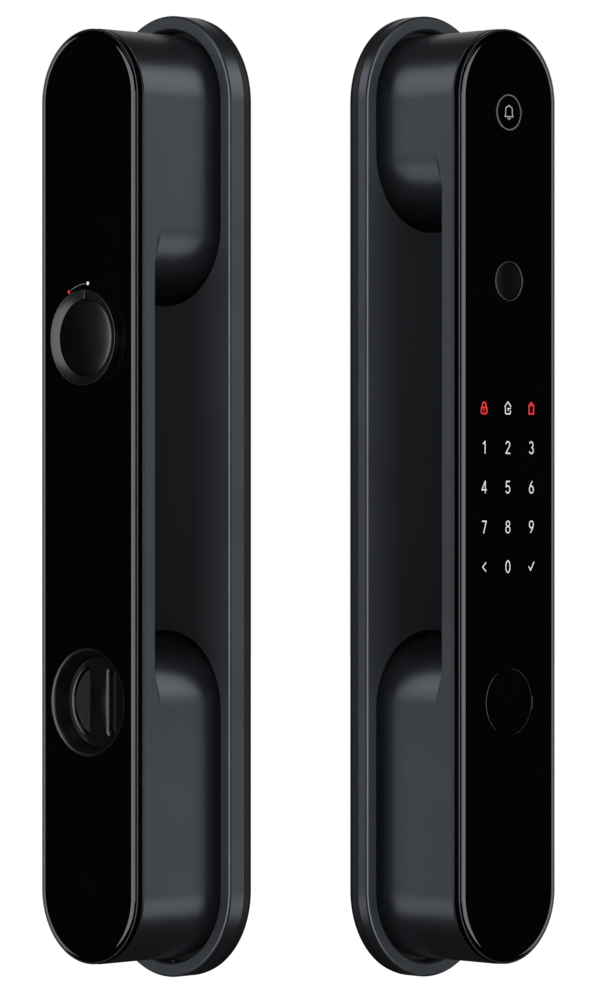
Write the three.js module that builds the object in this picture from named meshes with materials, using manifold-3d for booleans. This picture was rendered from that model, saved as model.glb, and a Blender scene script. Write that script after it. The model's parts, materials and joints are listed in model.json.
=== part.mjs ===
// A keypad push-pull door lock: an outdoor half and an indoor half, shown side by side at a right angle.
// Each half is drawn in its own frame: x across, z up from mid-height, and depth outward from the door.

import * as THREE from "three";
import { mergeVertices } from "three/addons/utils/BufferGeometryUtils.js";
import Module from "manifold-3d";

const wasm = await Module();
wasm.setup();

// ---- Driving dimensions, in millimetres ----

// Overall outline: a long pill shape for the handle, with a wider pill-shaped plate behind it.
const HANDLE_WIDTH = 61.6;
const HANDLE_HEIGHT = 403;
const PLATE_SIDE_MARGIN = 8.7;
const PLATE_END_MARGIN = 8.5;

// Clearances.
const FIT = 0.3;
const SEAT = 0.1;
const WELL_GAP = 2.2;

// A cutter runs this far past what it cuts, and points closer than this are welded into one.
const CUT = 1;
const WELD = 1e-4;

// Rear build-up of both halves.
const GASKET_THICKNESS = 1.4;
const BASE_FLOOR = 1.6;
const BASE_WALL = 2.2;
const PLATE_WALL = 2.4;
const EDGE_CHAMFER = 0.9;
const WELL_CHAMFER = 0.8;

// Handle: a bar that bridges two hollow pods.
const HANDLE_LIFT = 45.4;
const BAR_THICKNESS = 9.8;
const BAR_FLOOR = 2.2;
const HANDLE_WALL = 3.2;
const HANDLE_EDGE = 0.4;
const LOWER_POD_LENGTH = 140.3;

// Front: a glass panel in a slim trim ring.
const RIM_WALL = 0.9;
const TRIM_WIDTH = 1.4;
const TRIM_PROUD = 0.6;
const TRIM_DEPTH = 1.5;
const GLASS_PROUD = 1.5;
const GLASS_THICKNESS = 3;
const GLASS_EDGE = 1;
const GLASS_STRIP = 2;

// What differs between the halves: the base's top, the plate's face, the upper pod's length, how deep the
// pods sit in their wells, how far the handle can be pushed in, and whether a screw in the lower end holds
// the plate on. Outside, such a screw would invite tampering.
const OUTDOOR = {
  name: "outdoor",
  baseTop: 5.2,
  face: 10.6,
  upperPod: 83.3,
  podDepth: 7.1,
  pushStroke: 0,
  hasBottomScrew: false,
};
const INDOOR = {
  name: "indoor",
  baseTop: 4.6,
  face: 13.2,
  upperPod: 115.5,
  podDepth: 3.6,
  pushStroke: 6,
  hasBottomScrew: true,
};

// Guides and return springs of the handle.
const POST_RADIUS = 4;
const POST_FOOT_RADIUS = 9;
const POST_FOOT = 1.5;
const POST_HEIGHT = 27;
const BUSH_WALL = 2.6;
const BUSH_LENGTH = 12;
const POST_FROM_END = 30;
const SPRING_WIRE = 0.9;
const SPRING_TURNS = 4;
const SPRING_SLACK = 1;
const BUTTON_SPRING_TURNS = 1;

// Door-side openings and fasteners.
const CYLINDER_FROM_BOTTOM = 113;
const CYLINDER_HOLE = 13;
const FLANGE_OVERLAP = 2.5;
const FLANGE_THICKNESS = 1.5;
const CABLE_HOLE = 9;
const CABLE_FROM_TOP = 62;
const BOLT_HOLE = 3.2;
const BOLT_FROM_CENTRE = 36;
const BOTTOM_SCREW_RADIUS = 1.5;
const BOTTOM_SCREW_HEAD = 2.6;
const BOTTOM_SCREW_HEAD_DEPTH = 1.4;
const BOTTOM_SCREW_LENGTH = 6.5;
const SCREW_BLOCK_WIDTH = 12;
const SCREW_BLOCK_DEPTH = 4.5;

// Outdoor front: bell button, fingerprint reader, keypad and key cylinder.
const BELL_FROM_TOP = 36.1;
const BELL_RADIUS = 8.1;
const BELL_CAP = 2.4;
const FINGER_FROM_TOP = 108.7;
const FINGER_RADIUS = 8.8;
const FINGER_RING = 0.9;
const FINGER_DISH = 0.7;
const FINGER_STEM = 5.2;
const BOARD_THICKNESS = 1.2;
const BOARD_SIDE_GAP = 1.6;
const GUIDE_THICKNESS = 1.5;
const BOARD_FROM_TOP = 124;
const BOARD_ABOVE_CYLINDER = 22;
const ANTENNA_WIDTH = 34;
const ANTENNA_HEIGHT = 40;
const ANTENNA_BAND = 3;
const ANTENNA_THICKNESS = 0.4;
const COVER_RADIUS = 14.6;
const COVER_THICKNESS = 1.6;
const COVER_SKIRT = 3.4;
const COVER_SKIRT_WALL = 1.1;
const CYLINDER_RADIUS = 11;
const CYLINDER_SETBACK = 5.4;
const PLUG_RADIUS = 6.4;
const KEYWAY_WIDTH = 1.8;
const KEYWAY_HEIGHT = 8.4;
const KEYWAY_DEPTH = 20;
const SPEAKER_RADIUS = 11;
const SPEAKER_DEPTH = 4.2;
const SPEAKER_FROM_CYLINDER = 46;

// Indoor front: safety ring with its unlock button, thumbturn dish and batteries.
const KNOB_FROM_TOP = 133.2;
const RING_RADIUS = 20.6;
const RING_INNER = 16.5;
const RING_HEIGHT = 3.2;
const RING_INNER_HEIGHT = 1.5;
const RING_SKIRT = 1.1;
const RING_SKIRT_DEPTH = 4;
const POINTER_WIDTH = 3.2;
const SLEEVE_WALL = 1.3;
const BUTTON_DOME = 0.9;
const DOME_STEP_RADIUS = 0.6;
const DOME_STEP_RISE = 0.75;
const BUTTON_PROUD = 1.3;
const BUTTON_DEPTH = 3.4;
const SWITCH_SIZE = 6;
const SWITCH_HEIGHT = 1.4;
const PLUNGER_RADIUS = 1.5;
const BUTTON_TRAVEL = 2;
const DISH_RADIUS = 23.2;
const DISH_WALL = 1.2;
const DISH_DEPTH = 10.6;
const TURN_RADIUS = 19.5;
const TURN_RECESS = 6.4;
const RIB_WIDTH = 10;
const SCOOP_RIM = 2.2;
const SCOOP_DEPTH = 2;
const SHAFT_WIDTH = 6;
const SHAFT_CLEAR_OF_DOOR = 9.6;
const HUB_RADIUS = 9;
const HUB_TOP = 12.6;
const BATTERY_WIDTH = 42;
const BATTERY_HEIGHT = 50;
const BATTERY_DEPTH = 19;
const BATTERY_FROM_TOP = 45;
const BATTERY_TRAY_WALL = 1.5;
const MAIN_BOARD_LENGTH = 78;
const MAIN_BOARD_BELOW_KNOB = 24.5;

// Small screws that hold the boards.
const SCREW_HEAD_RADIUS = 2;
const SCREW_HEAD_HEIGHT = 1;
const SCREW_SHANK_RADIUS = 1;
const SCREW_INSET = 5;

// The indoor half stands this far to the side of the outdoor one and behind it, turned by a right angle.
const HALF_SPACING = 69.4;
const QUARTER_TURN = Math.PI / 2;

// Roundness of curved surfaces.
const ARC_STEPS = 6;
const ROUND_STEPS = 20;
const WIRE_SIDES = 3;
const STEPS_PER_TURN = 8;

// ---- Values worked out from the driving dimensions ----

const trimInset = RIM_WALL + FIT;
const glassInset = trimInset + TRIM_WIDTH + FIT;
// Widens with the thumbturn's dish, so that the glass keeps a strip on both sides of it.
const handleRadius = Math.max(HANDLE_WIDTH / 2, DISH_RADIUS + FIT + GLASS_STRIP + glassInset);
const handleTop = HANDLE_HEIGHT / 2;
const plateRadius = handleRadius + PLATE_SIDE_MARGIN;
const plateTop = handleTop + PLATE_END_MARGIN;
const cylinderZ = CYLINDER_FROM_BOTTOM - handleTop;
const bellZ = handleTop - BELL_FROM_TOP;
const fingerZ = handleTop - FINGER_FROM_TOP;
const knobZ = handleTop - KNOB_FROM_TOP;

// Depth of each layer of a half, measured outward from the door.
function layersOf(half) {
  const front = half.face + HANDLE_LIFT;
  return {
    baseBottom: GASKET_THICKNESS + SEAT,
    floorTop: GASKET_THICKNESS + SEAT + BASE_FLOOR,
    plateBottom: half.baseTop + SEAT,
    plateInside: half.face - PLATE_WALL,
    podRear: half.face - half.podDepth,
    barRear: front - BAR_THICKNESS,
    trayFloor: front - BAR_THICKNESS + BAR_FLOOR,
    front,
    glassRear: front + GLASS_PROUD - GLASS_THICKNESS,
    glassFront: front + GLASS_PROUD,
  };
}

// ---- Materials ----

function finish(color, roughness, metalness) {
  return new THREE.MeshStandardMaterial({ color, roughness, metalness });
}

const satinMetal = finish(0x45484c, 0.34, 0.85);
const blackGlass = finish(0x050506, 0.06, 0);
const blackPlastic = finish(0x161719, 0.5, 0);
const rubber = finish(0x0e0e0f, 0.85, 0);
const steel = finish(0xa9adb2, 0.3, 1);
const acetal = finish(0xe9e7de, 0.45, 0);
const circuitBoard = finish(0x14452c, 0.55, 0);
const copper = finish(0xb5703a, 0.35, 1);
const brass = finish(0xb89b5c, 0.32, 1);
const cellWrap = finish(0x24406b, 0.45, 0);
const lightGuide = finish(0xdfe6e8, 0.3, 0);

// ---- Solids ----

// A closed geometry as a manifold-3d solid.
function solid(geometry) {
  const bare = geometry.index ? geometry.toNonIndexed() : geometry.clone();
  bare.deleteAttribute("normal");
  bare.deleteAttribute("uv");
  const merged = mergeVertices(bare, WELD);
  return new wasm.Manifold(
    new wasm.Mesh({
      numProp: 3,
      vertProperties: merged.attributes.position.array,
      triVerts: new Uint32Array(merged.index.array),
    }),
  );
}

// An outline drawn across and up, given thickness from one depth to another.
function slab(shape, from, to) {
  const geometry = new THREE.ExtrudeGeometry(shape, {
    depth: to - from,
    bevelEnabled: false,
    curveSegments: ARC_STEPS,
  });
  geometry.translate(0, 0, from);
  geometry.rotateX(QUARTER_TURN);
  return solid(geometry);
}

// A pill outline with its round ends up and down.
function pill(radius, low, high) {
  const shape = new THREE.Shape();
  shape.absarc(0, high - radius, radius, 0, Math.PI, false);
  shape.absarc(0, low + radius, radius, Math.PI, 2 * Math.PI, false);
  shape.closePath();
  return shape;
}

function rectangle(width, low, high) {
  const shape = new THREE.Shape();
  shape.moveTo(-width / 2, low);
  shape.lineTo(width / 2, low);
  shape.lineTo(width / 2, high);
  shape.lineTo(-width / 2, high);
  shape.closePath();
  return shape;
}

// A pill-shaped slab between two depths, drawn in from a full outline by an inset.
function pillSlab(outline, inset, from, to) {
  return slab(pill(outline.radius - inset, outline.low + inset, outline.high - inset), from, to);
}

// A pill-shaped slab whose wall slopes: its inset changes from one depth to the other.
function pillTaper(outline, rearInset, frontInset, from, to) {
  const rear = pill(outline.radius - rearInset, outline.low + rearInset, outline.high - rearInset);
  const front = pill(outline.radius - frontInset, outline.low + frontInset, outline.high - frontInset);
  const rearPoints = rear.getPoints(ARC_STEPS).slice(0, -1);
  const frontPoints = front.getPoints(ARC_STEPS).slice(0, -1);
  const count = rearPoints.length;
  const positions = [];
  const corner = (point, depth) => positions.push(point.x, -depth, point.y);
  const middle = new THREE.Vector2(0, (outline.low + outline.high) / 2);
  for (let i = 0; i < count; i++) {
    const next = (i + 1) % count;
    corner(rearPoints[i], from);
    corner(rearPoints[next], from);
    corner(frontPoints[next], to);
    corner(rearPoints[i], from);
    corner(frontPoints[next], to);
    corner(frontPoints[i], to);
    corner(middle, to);
    corner(frontPoints[i], to);
    corner(frontPoints[next], to);
    corner(middle, from);
    corner(rearPoints[next], from);
    corner(rearPoints[i], from);
  }
  const geometry = new THREE.BufferGeometry();
  geometry.setAttribute("position", new THREE.Float32BufferAttribute(positions, 3));
  return solid(geometry);
}

// A block from a centre across and up, between two depths.
function block(width, height, from, to, x, z) {
  const geometry = new THREE.BoxGeometry(width, to - from, height);
  geometry.translate(x, -(from + to) / 2, z);
  return solid(geometry);
}

// A round piece from a profile of [radius, depth] pairs that runs from the axis, round the outside, and back.
function turned(profile, x, z) {
  const points = profile.map(([radius, depth]) => new THREE.Vector2(radius, depth));
  const geometry = new THREE.LatheGeometry(points, ROUND_STEPS);
  geometry.rotateX(Math.PI);
  geometry.translate(x, 0, z);
  return solid(geometry);
}

function disc(radius, from, to, x, z) {
  return turned([[0, from], [radius, from], [radius, to], [0, to]], x, z);
}

function tube(outer, inner, from, to, x, z) {
  return turned([[inner, from], [outer, from], [outer, to], [inner, to], [inner, from]], x, z);
}

// A rod that runs straight up from a point.
function uprightRod(radius, low, high, depth) {
  const geometry = new THREE.CylinderGeometry(radius, radius, high - low, ROUND_STEPS / 2);
  geometry.rotateX(QUARTER_TURN);
  geometry.translate(0, -depth, (low + high) / 2);
  return solid(geometry);
}

// A helix of wire whose axis runs outward from the door.
class Coil extends THREE.Curve {
  constructor(radius, from, to, turns, x, z) {
    super();
    Object.assign(this, { radius, from, to, turns, x, z });
  }

  getPoint(t, target = new THREE.Vector3()) {
    const angle = 2 * Math.PI * this.turns * t;
    const depth = this.from + (this.to - this.from) * t;
    return target.set(
      this.x + this.radius * Math.cos(angle),
      -depth,
      this.z + this.radius * Math.sin(angle),
    );
  }
}

function coil(radius, from, to, turns, x, z) {
  const wire = new THREE.Shape();
  wire.absarc(0, 0, SPRING_WIRE / 2, 0, 2 * Math.PI, false);
  return solid(
    new THREE.ExtrudeGeometry(wire, {
      steps: turns * STEPS_PER_TURN,
      curveSegments: WIRE_SIDES,
      extrudePath: new Coil(radius, from, to, turns, x, z),
    }),
  );
}

// Adds a solid to a group as a named mesh.
function addPiece(group, name, shape, material) {
  const { numProp, numVert, vertProperties, triVerts } = shape.getMesh();
  const positions = new Float32Array(numVert * 3);
  for (let i = 0; i < numVert; i++) {
    positions.set(vertProperties.subarray(i * numProp, i * numProp + 3), i * 3);
  }
  const geometry = new THREE.BufferGeometry();
  geometry.setAttribute("position", new THREE.BufferAttribute(positions, 3));
  geometry.setIndex(new THREE.BufferAttribute(triVerts, 1));
  geometry.computeVertexNormals();
  const mesh = new THREE.Mesh(geometry, material);
  mesh.name = name;
  group.add(mesh);
}

// ---- Outlines that both halves share ----

const plateOutline = { radius: plateRadius, low: -plateTop, high: plateTop };
const handleOutline = { radius: handleRadius, low: -handleTop, high: handleTop };

function podOutlines(half) {
  return [
    { radius: handleRadius, low: handleTop - half.upperPod, high: handleTop },
    { radius: handleRadius, low: -handleTop, high: LOWER_POD_LENGTH - handleTop },
  ];
}

// Heights of the two guide posts, each near the end of its pod.
const postHeights = [
  ["upper", handleTop - POST_FROM_END],
  ["lower", POST_FROM_END - handleTop],
];

// ---- Rear build-up: gasket, base and plate ----

// The openings that the door side needs, cut through a layer.
function cutDoorOpenings(layer, from, to) {
  const cylinder = disc(CYLINDER_HOLE, from, to, 0, cylinderZ);
  const cable = disc(CABLE_HOLE, from, to, 0, handleTop - CABLE_FROM_TOP);
  let cut = layer.subtract(cylinder).subtract(cable);
  for (const side of [1, -1]) {
    cut = cut.subtract(disc(BOLT_HOLE, from, to, 0, side * BOLT_FROM_CENTRE));
  }
  return cut;
}

function addGasket(group, half) {
  const sheet = pillSlab(plateOutline, FIT, 0, GASKET_THICKNESS);
  addPiece(group, half.name + "_gasket", cutDoorOpenings(sheet, -CUT, GASKET_THICKNESS + CUT), rubber);
}

function bottomScrewDepth(half) {
  return (half.baseTop + half.face) / 2;
}

// The block inside the lower end that the bottom screw bites into.
function screwBlock(half) {
  const layers = layersOf(half);
  const top = layers.plateInside - FIT;
  const middle = SCREW_BLOCK_DEPTH / 2 - plateTop;
  const bar = block(SCREW_BLOCK_WIDTH, SCREW_BLOCK_DEPTH * 2, layers.floorTop - SEAT, top, 0, middle);
  return bar.intersect(pillSlab(plateOutline, PLATE_WALL + FIT, layers.baseBottom, half.face));
}

function addBase(group, half) {
  const layers = layersOf(half);
  const full = pillSlab(plateOutline, 0, layers.baseBottom, half.baseTop);
  const hollow = pillSlab(plateOutline, BASE_WALL, layers.floorTop, half.baseTop + CUT);
  let pan = full.subtract(hollow);
  if (half.hasBottomScrew) {
    const holeTop = BOTTOM_SCREW_LENGTH + CUT - plateTop;
    const hole = uprightRod(BOTTOM_SCREW_RADIUS + FIT, -plateTop - CUT, holeTop, bottomScrewDepth(half));
    pan = pan.add(screwBlock(half)).subtract(hole);
  }
  const opened = cutDoorOpenings(pan, layers.baseBottom - CUT, layers.floorTop + CUT);
  addPiece(group, half.name + "_base", opened, blackPlastic);
}

function addBackplate(group, half) {
  const layers = layersOf(half);
  const body = pillSlab(plateOutline, 0, layers.plateBottom, half.face - EDGE_CHAMFER);
  const edge = pillTaper(plateOutline, 0, EDGE_CHAMFER, half.face - EDGE_CHAMFER, half.face);
  const hollow = pillSlab(plateOutline, PLATE_WALL, layers.plateBottom - CUT, layers.plateInside);
  let shell = body.add(edge).subtract(hollow);
  for (const pod of podOutlines(half)) {
    shell = shell.subtract(pillSlab(pod, -WELL_GAP, layers.plateInside - CUT, half.face + CUT));
    const rim = pillTaper(pod, -WELL_GAP, -WELL_GAP - WELL_CHAMFER, half.face - WELL_CHAMFER, half.face);
    shell = shell.subtract(rim);
  }
  if (half.hasBottomScrew) {
    const holeTop = PLATE_WALL + FIT - plateTop;
    shell = shell.subtract(
      uprightRod(BOTTOM_SCREW_HEAD + FIT, -plateTop - CUT, holeTop, bottomScrewDepth(half)),
    );
  }
  addPiece(group, half.name + "_backplate", shell, satinMetal);
}

function addBottomScrew(group, half) {
  const depth = bottomScrewDepth(half);
  const headLow = -plateTop + 2 * FIT;
  const headHigh = headLow + BOTTOM_SCREW_HEAD_DEPTH;
  const head = uprightRod(BOTTOM_SCREW_HEAD, headLow, headHigh, depth);
  const shank = uprightRod(BOTTOM_SCREW_RADIUS, headHigh - SEAT, headLow + BOTTOM_SCREW_LENGTH, depth);
  addPiece(group, half.name + "_bottom_screw", head.add(shank), steel);
}

// ---- Handle: bar, pods, guides and springs ----

function addHandleBody(group, half, openings) {
  const layers = layersOf(half);
  const bar = pillSlab(handleOutline, 0, layers.barRear, layers.front - HANDLE_EDGE);
  const edge = pillTaper(handleOutline, 0, HANDLE_EDGE, layers.front - HANDLE_EDGE, layers.front);
  const tray = pillSlab(handleOutline, HANDLE_WALL, layers.trayFloor, layers.front + CUT);
  const rebate = pillSlab(handleOutline, RIM_WALL, layers.front - TRIM_DEPTH, layers.front + CUT);
  let shell = bar.add(edge);
  for (const pod of podOutlines(half)) {
    shell = shell.add(pillSlab(pod, 0, layers.podRear, layers.barRear + CUT));
  }
  shell = shell.subtract(tray).subtract(rebate);
  for (const pod of podOutlines(half)) {
    shell = shell.subtract(pillSlab(pod, HANDLE_WALL, layers.podRear - CUT, layers.barRear));
  }
  for (const opening of openings) {
    shell = shell.subtract(opening);
  }
  addPiece(group, half.name + "_handle_body", shell, satinMetal);
}

function addTrimRing(group, half) {
  const layers = layersOf(half);
  const rear = layers.front - TRIM_DEPTH + FIT;
  const front = layers.front + TRIM_PROUD;
  const outer = pillSlab(handleOutline, trimInset, rear, front);
  const inner = pillSlab(handleOutline, trimInset + TRIM_WIDTH, rear - CUT, front + CUT);
  addPiece(group, half.name + "_trim_ring", outer.subtract(inner), blackPlastic);
}

function addGlass(group, half, holes) {
  const layers = layersOf(half);
  const edgeRear = layers.glassFront - GLASS_EDGE;
  const body = pillSlab(handleOutline, glassInset, layers.glassRear, edgeRear);
  const edge = pillTaper(handleOutline, glassInset, glassInset + GLASS_EDGE, edgeRear, layers.glassFront);
  let panel = body.add(edge);
  for (const [radius, height] of holes) {
    panel = panel.subtract(disc(radius, layers.glassRear - CUT, layers.glassFront + CUT, 0, height));
  }
  addPiece(group, half.name + "_glass", panel, blackGlass);
}

function addGuides(fixed, moving, half) {
  const layers = layersOf(half);
  const postFoot = layers.floorTop + SEAT;
  const bushRear = layers.barRear - SEAT - BUSH_LENGTH;
  for (const [place, height] of postHeights) {
    const foot = disc(POST_FOOT_RADIUS, postFoot, postFoot + POST_FOOT, 0, height);
    const post = disc(POST_RADIUS, postFoot, postFoot + POST_HEIGHT, 0, height);
    addPiece(fixed, half.name + "_guide_post_" + place, foot.add(post), steel);
    const bushInner = POST_RADIUS + FIT;
    const bush = tube(bushInner + BUSH_WALL, bushInner, bushRear, layers.barRear - SEAT, 0, height);
    addPiece(moving, half.name + "_guide_bush_" + place, bush, acetal);
    const springRadius = POST_RADIUS + FIT + SPRING_WIRE;
    const springFrom = postFoot + POST_FOOT + SPRING_WIRE;
    const springTo = bushRear - half.pushStroke - SPRING_SLACK - SPRING_WIRE;
    const spring = coil(springRadius, springFrom, springTo, SPRING_TURNS, 0, height);
    addPiece(fixed, half.name + "_return_spring_" + place, spring, steel);
  }
}

function boardScrew(rear, x, z) {
  const head = disc(SCREW_HEAD_RADIUS, rear, rear + SCREW_HEAD_HEIGHT, x, z);
  const shank = disc(SCREW_SHANK_RADIUS, rear - BOARD_THICKNESS - FIT, rear + SCREW_HEAD_HEIGHT / 2, x, z);
  return head.add(shank);
}

// ---- Outdoor front ----

function buildOutdoor() {
  const half = OUTDOOR;
  const layers = layersOf(half);
  const fixed = new THREE.Group();
  const handle = new THREE.Group();
  addGasket(fixed, half);
  addBase(fixed, half);
  addBackplate(fixed, half);
  addGuides(fixed, handle, half);

  const cylinderWell = disc(COVER_RADIUS + FIT, layers.barRear - CUT, layers.front + CUT, 0, cylinderZ);
  addHandleBody(handle, half, [cylinderWell]);
  addTrimRing(handle, half);
  const holes = [
    [BELL_RADIUS + FIT, bellZ],
    [FINGER_RADIUS + FIT, fingerZ],
    [COVER_RADIUS + FIT, cylinderZ],
  ];
  addGlass(handle, half, holes);
  addBell(handle, layers);
  addFingerprintReader(handle, layers);
  addKeypad(handle, layers);
  addSpeaker(handle, layers);
  addCylinder(fixed, handle, layers);
  const group = new THREE.Group();
  group.add(fixed, handle);
  return group;
}

function addBell(group, layers) {
  const capRear = layers.glassFront - BELL_CAP;
  const cap = disc(BELL_RADIUS, capRear, layers.glassFront, 0, bellZ);
  addPiece(group, "bell_button", cap, blackGlass);
  const switchTop = layers.trayFloor + SEAT + SWITCH_HEIGHT;
  const bellSwitch = block(SWITCH_SIZE, SWITCH_SIZE, layers.trayFloor + SEAT, switchTop, 0, bellZ);
  const plunger = disc(PLUNGER_RADIUS, switchTop - SEAT, switchTop + SWITCH_HEIGHT, 0, bellZ);
  addPiece(group, "bell_switch", bellSwitch.add(plunger), blackPlastic);
}

function addFingerprintReader(group, layers) {
  const inner = FINGER_RADIUS - FINGER_RING;
  const bezel = tube(FINGER_RADIUS, inner, layers.glassRear, layers.glassFront, 0, fingerZ);
  addPiece(group, "fingerprint_bezel", bezel, satinMetal);
  const rim = inner - FIT;
  const dish = [
    [0, layers.glassRear],
    [rim, layers.glassRear],
    [rim, layers.glassFront - FIT],
    [rim / 2, layers.glassFront - FIT - FINGER_DISH],
    [0, layers.glassFront - FIT - FINGER_DISH],
  ];
  const module = disc(FINGER_STEM, layers.trayFloor + SEAT, layers.glassRear + SEAT, 0, fingerZ);
  addPiece(group, "fingerprint_sensor", turned(dish, 0, fingerZ).add(module), blackGlass);
}

function addKeypad(group, layers) {
  const width = 2 * (handleRadius - HANDLE_WALL - BOARD_SIDE_GAP);
  const high = handleTop - BOARD_FROM_TOP;
  const low = cylinderZ + BOARD_ABOVE_CYLINDER;
  const guideFront = layers.glassRear - FIT;
  const guideRear = guideFront - GUIDE_THICKNESS;
  const diffuser = slab(rectangle(width, low, high), guideRear, guideFront);
  addPiece(group, "keypad_light_guide", diffuser, lightGuide);
  const boardFront = guideRear - SCREW_HEAD_HEIGHT - FIT;
  const boardRear = boardFront - BOARD_THICKNESS;
  let board = slab(rectangle(width, low, high), boardRear, boardFront);
  const screwX = width / 2 - SCREW_INSET;
  const screws = [[-screwX, high - SCREW_INSET], [screwX, low + SCREW_INSET]];
  screws.forEach(([x, z], index) => {
    board = board.subtract(disc(SCREW_SHANK_RADIUS + FIT, boardRear - CUT, boardFront + CUT, x, z));
    addPiece(group, "keypad_board_screw_" + (index + 1), boardScrew(boardFront + SEAT, x, z), steel);
  });
  addPiece(group, "keypad_board", board, circuitBoard);
  const middle = (low + high) / 2;
  const outer = rectangle(ANTENNA_WIDTH, middle - ANTENNA_HEIGHT / 2, middle + ANTENNA_HEIGHT / 2);
  const innerLow = middle - ANTENNA_HEIGHT / 2 + ANTENNA_BAND;
  const innerHigh = middle + ANTENNA_HEIGHT / 2 - ANTENNA_BAND;
  outer.holes.push(rectangle(ANTENNA_WIDTH - 2 * ANTENNA_BAND, innerLow, innerHigh));
  const antennaFront = boardRear - FIT;
  addPiece(group, "card_antenna", slab(outer, antennaFront - ANTENNA_THICKNESS, antennaFront), copper);
}

function addSpeaker(group, layers) {
  const height = cylinderZ - SPEAKER_FROM_CYLINDER;
  const front = layers.barRear - SEAT;
  addPiece(group, "speaker", disc(SPEAKER_RADIUS, front - SPEAKER_DEPTH, front, 0, height), blackPlastic);
}

// A flange that spans the cylinder hole in the base and rests on its floor.
function mountingFlange(inner, rear) {
  return tube(CYLINDER_HOLE + FLANGE_OVERLAP, inner, rear, rear + FLANGE_THICKNESS, 0, cylinderZ);
}

function addCylinder(fixed, handle, layers) {
  const plate = disc(COVER_RADIUS, layers.glassFront - COVER_THICKNESS, layers.glassFront, 0, cylinderZ);
  const skirtRear = layers.glassFront - COVER_THICKNESS - COVER_SKIRT;
  const skirtInner = COVER_RADIUS - COVER_SKIRT_WALL;
  const skirtFront = layers.glassFront - COVER_THICKNESS + SEAT;
  const skirt = tube(COVER_RADIUS, skirtInner, skirtRear, skirtFront, 0, cylinderZ);
  addPiece(handle, "cylinder_cover", plate.add(skirt), blackGlass);
  const rear = layers.floorTop + SEAT;
  const front = layers.glassFront - CYLINDER_SETBACK;
  const shell = tube(CYLINDER_RADIUS, PLUG_RADIUS + FIT, rear, front, 0, cylinderZ);
  addPiece(fixed, "cylinder_body", shell.add(mountingFlange(PLUG_RADIUS + FIT, rear)), brass);
  const plug = disc(PLUG_RADIUS, rear, front, 0, cylinderZ);
  const keyway = block(KEYWAY_WIDTH, KEYWAY_HEIGHT, front - KEYWAY_DEPTH, front + CUT, 0, cylinderZ);
  addPiece(fixed, "cylinder_plug", plug.subtract(keyway), steel);
}

// ---- Indoor front ----

function buildIndoor() {
  const half = INDOOR;
  const layers = layersOf(half);
  const fixed = new THREE.Group();
  const handle = new THREE.Group();
  addGasket(fixed, half);
  addBase(fixed, half);
  addBackplate(fixed, half);
  addBottomScrew(fixed, half);
  addGuides(fixed, handle, half);

  const dishWell = disc(DISH_RADIUS + FIT, layers.barRear - CUT, layers.front + CUT, 0, cylinderZ);
  addHandleBody(handle, half, [dishWell]);
  addTrimRing(handle, half);
  const sleeveOuter = RING_INNER + RING_SKIRT + FIT + SLEEVE_WALL;
  const holes = [
    [sleeveOuter + FIT, knobZ],
    [DISH_RADIUS + FIT, cylinderZ],
  ];
  addGlass(handle, half, holes);
  addSafetyRing(handle, layers, sleeveOuter);
  addThumbturn(fixed, handle, layers);
  addBattery(handle, layers);
  addMainBoard(handle, layers);
  const group = new THREE.Group();
  group.add(fixed, handle);
  return group;
}

function addSafetyRing(group, layers, sleeveOuter) {
  const sleeveInner = sleeveOuter - SLEEVE_WALL;
  const sleeveRear = layers.trayFloor + SEAT;
  const sleeve = tube(sleeveOuter, sleeveInner, sleeveRear, layers.glassFront, 0, knobZ);
  addPiece(group, "ring_sleeve", sleeve, blackPlastic);

  const ringRear = layers.glassFront + FIT;
  const ringFront = layers.glassFront + RING_HEIGHT;
  const skirtRear = layers.glassFront - RING_SKIRT_DEPTH;
  const profile = [
    [RING_INNER, skirtRear],
    [RING_INNER + RING_SKIRT, skirtRear],
    [RING_INNER + RING_SKIRT, ringRear],
    [RING_RADIUS, ringRear],
    [RING_RADIUS, ringFront],
    [RING_RADIUS - HANDLE_EDGE, ringFront],
    [RING_INNER, layers.glassFront + RING_INNER_HEIGHT],
    [RING_INNER, skirtRear],
  ];
  const tabLength = RING_RADIUS - RING_INNER;
  const tabMiddle = knobZ + (RING_RADIUS + RING_INNER) / 2;
  const pointer = block(POINTER_WIDTH, tabLength - FIT, ringRear, ringFront, 0, tabMiddle);
  addPiece(group, "safety_ring", turned(profile, 0, knobZ).add(pointer), blackPlastic);

  const capRadius = RING_INNER - FIT;
  const capRear = layers.glassFront - BUTTON_DEPTH;
  const capEdge = layers.glassFront + BUTTON_PROUD;
  const cap = [
    [0, capRear],
    [capRadius, capRear],
    [capRadius, capEdge],
    [capRadius * DOME_STEP_RADIUS, capEdge + BUTTON_DOME * DOME_STEP_RISE],
    [0, capEdge + BUTTON_DOME],
  ];
  addPiece(group, "unlock_button", turned(cap, 0, knobZ), blackPlastic);

  const switchRear = layers.trayFloor + SEAT;
  const switchTop = switchRear + SWITCH_HEIGHT;
  const body = block(SWITCH_SIZE, SWITCH_SIZE, switchRear, switchTop, 0, knobZ);
  addPiece(group, "unlock_switch", body, blackPlastic);
  const springFrom = switchRear + SPRING_WIRE;
  const springTo = Math.max(capRear - BUTTON_TRAVEL - SPRING_WIRE / 2, springFrom + 2 * SPRING_WIRE);
  const spring = coil(SWITCH_SIZE, springFrom, springTo, BUTTON_SPRING_TURNS, 0, knobZ);
  addPiece(group, "button_spring", spring, steel);
}

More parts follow.
